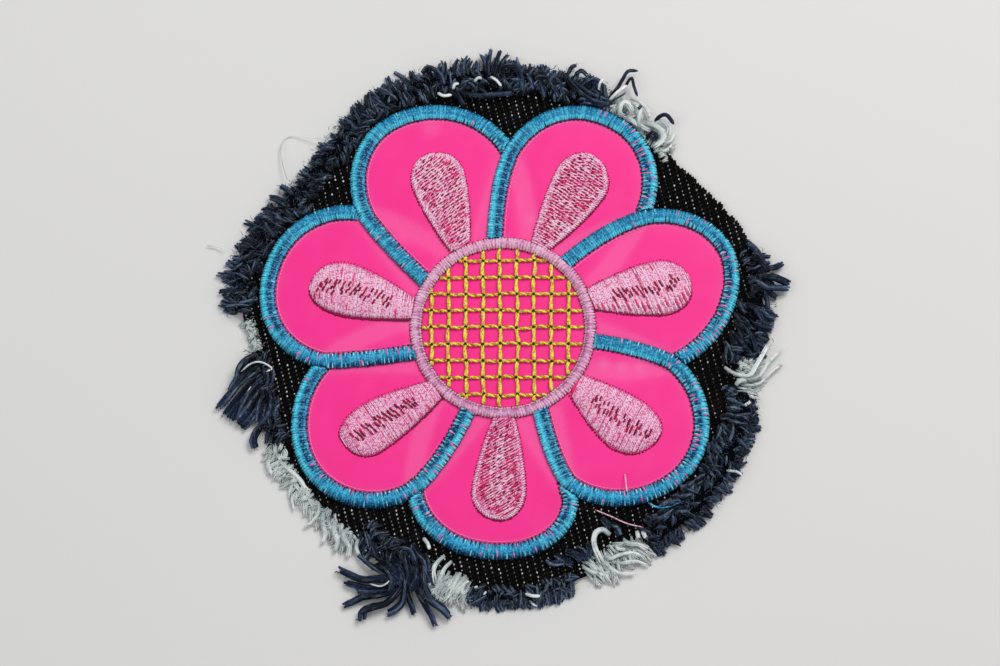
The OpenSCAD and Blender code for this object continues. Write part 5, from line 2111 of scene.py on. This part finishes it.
LOOSE = {
    "indigo_yarn": strands(
        (0.5, 26.6, 59.4, 2.5, 28.8, 61.8, 3.4, 30.4, 64.4, 3.6, 31.8, 66.7, 3, 34.3, 67.2, 1.8),
        (0.42, 31, 62.8, 2.4, 32.6, 64.8, 3.4, 33.2, 62.6, 3.4, 34.1, 60.2, 2.6),
        (0.26, 27.5, 58.7, 2.8, 29.2, 59.7, 3, 31.2, 61.1, 2.6),
        (0.58, 38.5, 53.3, 2.4, 39.6, 54.6, 3, 41.4, 55, 3.2, 43.3, 52.9, 2.2),
        (0.42, 34.2, 56.4, 4, 35.1, 57.4, 3.6),
        (0.6, 36.2, 48.8, 2.6, 37.6, 50.2, 3.6, 38.8, 49.4, 3.4, 37.6, 48.4, 2.6),
    ),
    "white_yarn": strands(
        (0.44, 27, 58.9, 3.4, 29, 60.8, 4, 31.4, 62.9, 3.2),
        (0.36, 24.2, 61, 2.8, 24.6, 63.4, 3.2, 25.6, 64.7, 3),
        (0.42, -16.6, 60.9, 3.2, -15, 60, 3.6, -13, 60.4, 3.2),
        (0.36, -3.2, 64.9, 4.2, -1.8, 64, 4.3, -0.4, 62.5, 3.8),
        (0.4, -7.2, 63.6, 4, -6.4, 64.5, 4.2, -5.4, 64.6, 3.8),
        (0.4, -12.7, 61.6, 4, -12.2, 62.8, 4.2, -11.2, 63.2, 3.8),
        (0.14, -54.5, 38.5, 1.8, -56, 44, 1.2, -56, 48, 0.8, -53.5, 50.5, 0.6, -46, 49, 2),
        (0.16, -74.5, 21.5, 0.6, -72, 21.2, 0.8, -69.5, 20.5, 1.4),
        (0.24, -65, -11.6, 3.8, -62.6, -9.6, 4, -60, -9.1, 3.6, -57.4, -10.4, 2.4, -58.8, -11.3, 2.6),
        (0.24, -62.4, -15, 3.8, -64.2, -18.6, 3.2),
        (0.22, -32.6, -64.4, 2.8, -30, -65, 3, -28.2, -64.2, 3.4, -27.4, -62.8, 3.4),
        (0.3, -30.6, -54.4, 1.7, -30, -57, 1.9),
        (0.5, -19.6, -52.9, 1.8, -18.6, -54.2, 2.1, -18, -55.8, 2),
        (0.2, -33.8, -54.4, 1.6, -33.6, -56.2, 1.6),
        (0.3, -9.3, -64.3, 2.4, -8.4, -63.7, 2.6),
        (0.26, -7, -65.3, 2.4, -6.2, -65, 2.6),
        (0.26, -4.8, -67.1, 2.6, -4.1, -66.3, 2.8),
        (0.42, 5.4, -66.8, 2.8, 7.2, -67.4, 3, 9.2, -67.4, 2.4),
        (0.3, 6.4, -68.2, 1.4, 7.4, -69.2, 1.2, 8.4, -69.6, 0.8),
        (0.32, 55, -36.4, 3.6, 57.4, -36.6, 3, 59, -37.2, 1.8),
    ),
    "turquoise_thread": strands(
        (0.24, 35.5, -44.5, 3.9, 37.5, -45.5, 3.9, 40, -45.5, 3, 44.5, -44, 3.2),
    ),
    "light_pink_thread": strands(
        (0.16, 22.5, -46, 2.6, 26.5, -47.6, 2.2, 30.5, -49.4, 2.2, 34.5, -50.5, 3),
        (0.15, 30, -37, 2.9, 30.2, -39.5, 3.8, 30.5, -42, 3.9),
    ),
}


@dataclass
class LooseThreads:
    """All the single loose threads of one finish."""

    finish: str
    seed: int = 700

    def build(self, shop: Workshop) -> None:
        """Makes the threads.

        Args:
            shop: Patterns and materials.
        """
        bundle = Bundle("loose_" + self.finish)
        rng = np.random.default_rng(self.seed)
        shades = (0.05, 0.3) if self.finish == "indigo_yarn" else (0.8, 0.98)
        for thick, points in LOOSE[self.finish]:
            size = thick * rounded(shop.cord.rings, 0.4, 8)
            spine = smooth(points, shop.cord.rings)[None]
            bundle.add(shop.cord, spine, size, size, rng.uniform(*shades, 1))
        hand_in(bundle.make(shop.pick(self.finish)), self.finish)


# Studio


@dataclass
class Studio:
    """The pale table, the soft lights and the camera."""

    tilt: float = 13.0
    distance: float = 0.75
    aim: tuple[float, float] = (-0.00075, -0.0008468)
    lens: float = 108.0

    def build(self) -> None:
        """Sets up the studio."""
        self._camera()
        self._floor()
        self._lights()

    @staticmethod
    def _place(
        name: str, data: bpy.types.ID, at: tuple[float, ...], turn: tuple[float, ...]
    ) -> bpy.types.Object:
        """Puts a camera or a lamp in the scene.

        Args:
            name: Its name.
            data: The camera or the lamp.
            at: Its place.
            turn: Its angles.

        Returns:
            The object.
        """
        made = bpy.data.objects.new(name, data)
        made.location, made.rotation_euler = at, turn
        bpy.context.collection.objects.link(made)
        return made

    def _camera(self) -> None:
        """Sets the camera at the photograph's angle."""
        data = bpy.data.cameras.new("camera")
        data.lens, data.sensor_width = self.lens, 36.0
        data.clip_start, data.clip_end = 0.01, 20
        turn = math.radians(self.tilt)
        away, up = self.distance * math.sin(turn), self.distance * math.cos(turn)
        place = (self.aim[0], self.aim[1] - away, up)
        bpy.context.scene.camera = self._place("camera", data, place, (turn, 0, 0))

    def _floor(self) -> None:
        """Lays the pale table."""
        bpy.ops.object.select_all(action="DESELECT")
        bpy.ops.mesh.primitive_grid_add(x_subdivisions=4, y_subdivisions=4, size=6, location=(0, 0, -0.00005))
        table = bpy.context.object
        table.name = "table"
        g = Graph("pale_table")
        table.data.materials.append(g.finish(g.blend(g.noise(0.25, 1.0), "dcdbd9", "e4e2e1"), 0.75))

    def _lights(self) -> None:
        """Hangs a soft key light at the upper right and a wide fill."""
        for name, place, size, power, colour in (
            ("key", (0.34, 0.42, 0.72), 0.5, 4.6, (1.0, 0.99, 0.975)),
            ("fill", (-0.6, -0.1, 0.7), 0.8, 1.6, (0.95, 0.98, 1.0)),
        ):
            data = bpy.data.lights.new(name, "AREA")
            data.shape, data.size, data.energy, data.color = "DISK", size, power, colour
            x, y, z = np.array(place) / np.linalg.norm(place)
            self._place(name, data, place, (math.acos(z), 0, math.atan2(y, x) + math.pi / 2))
        world = bpy.data.worlds.new("studio")
        world.use_nodes = True
        back = world.node_tree.nodes["Background"]
        back.inputs["Color"].default_value = (0.96, 0.98, 1.0, 1.0)
        back.inputs["Strength"].default_value = 0.42
        bpy.context.scene.world = world
        bpy.context.scene.view_settings.view_transform = "Standard"


def main() -> None:
    """Builds the patch and its studio."""
    logging.basicConfig(level=logging.INFO, format="%(message)s")
    Studio().build()
    shop = Workshop.open()
    DenimBacking().sheet(shop)
    DenimBacking().twill(shop, SECTIONS)
    VinylFlower().build(shop)
    for k in range(len(PETALS)):
        SatinBorder(k).build(shop)
        Teardrop(k).build(shop)
    CentreRing().build(shop)
    CentreNet().build(shop)
    for section in SECTIONS:
        section.build(shop)
    for finish in sorted(LOOSE):
        LooseThreads(finish).build(shop)


if __name__ == "__main__":
    main()
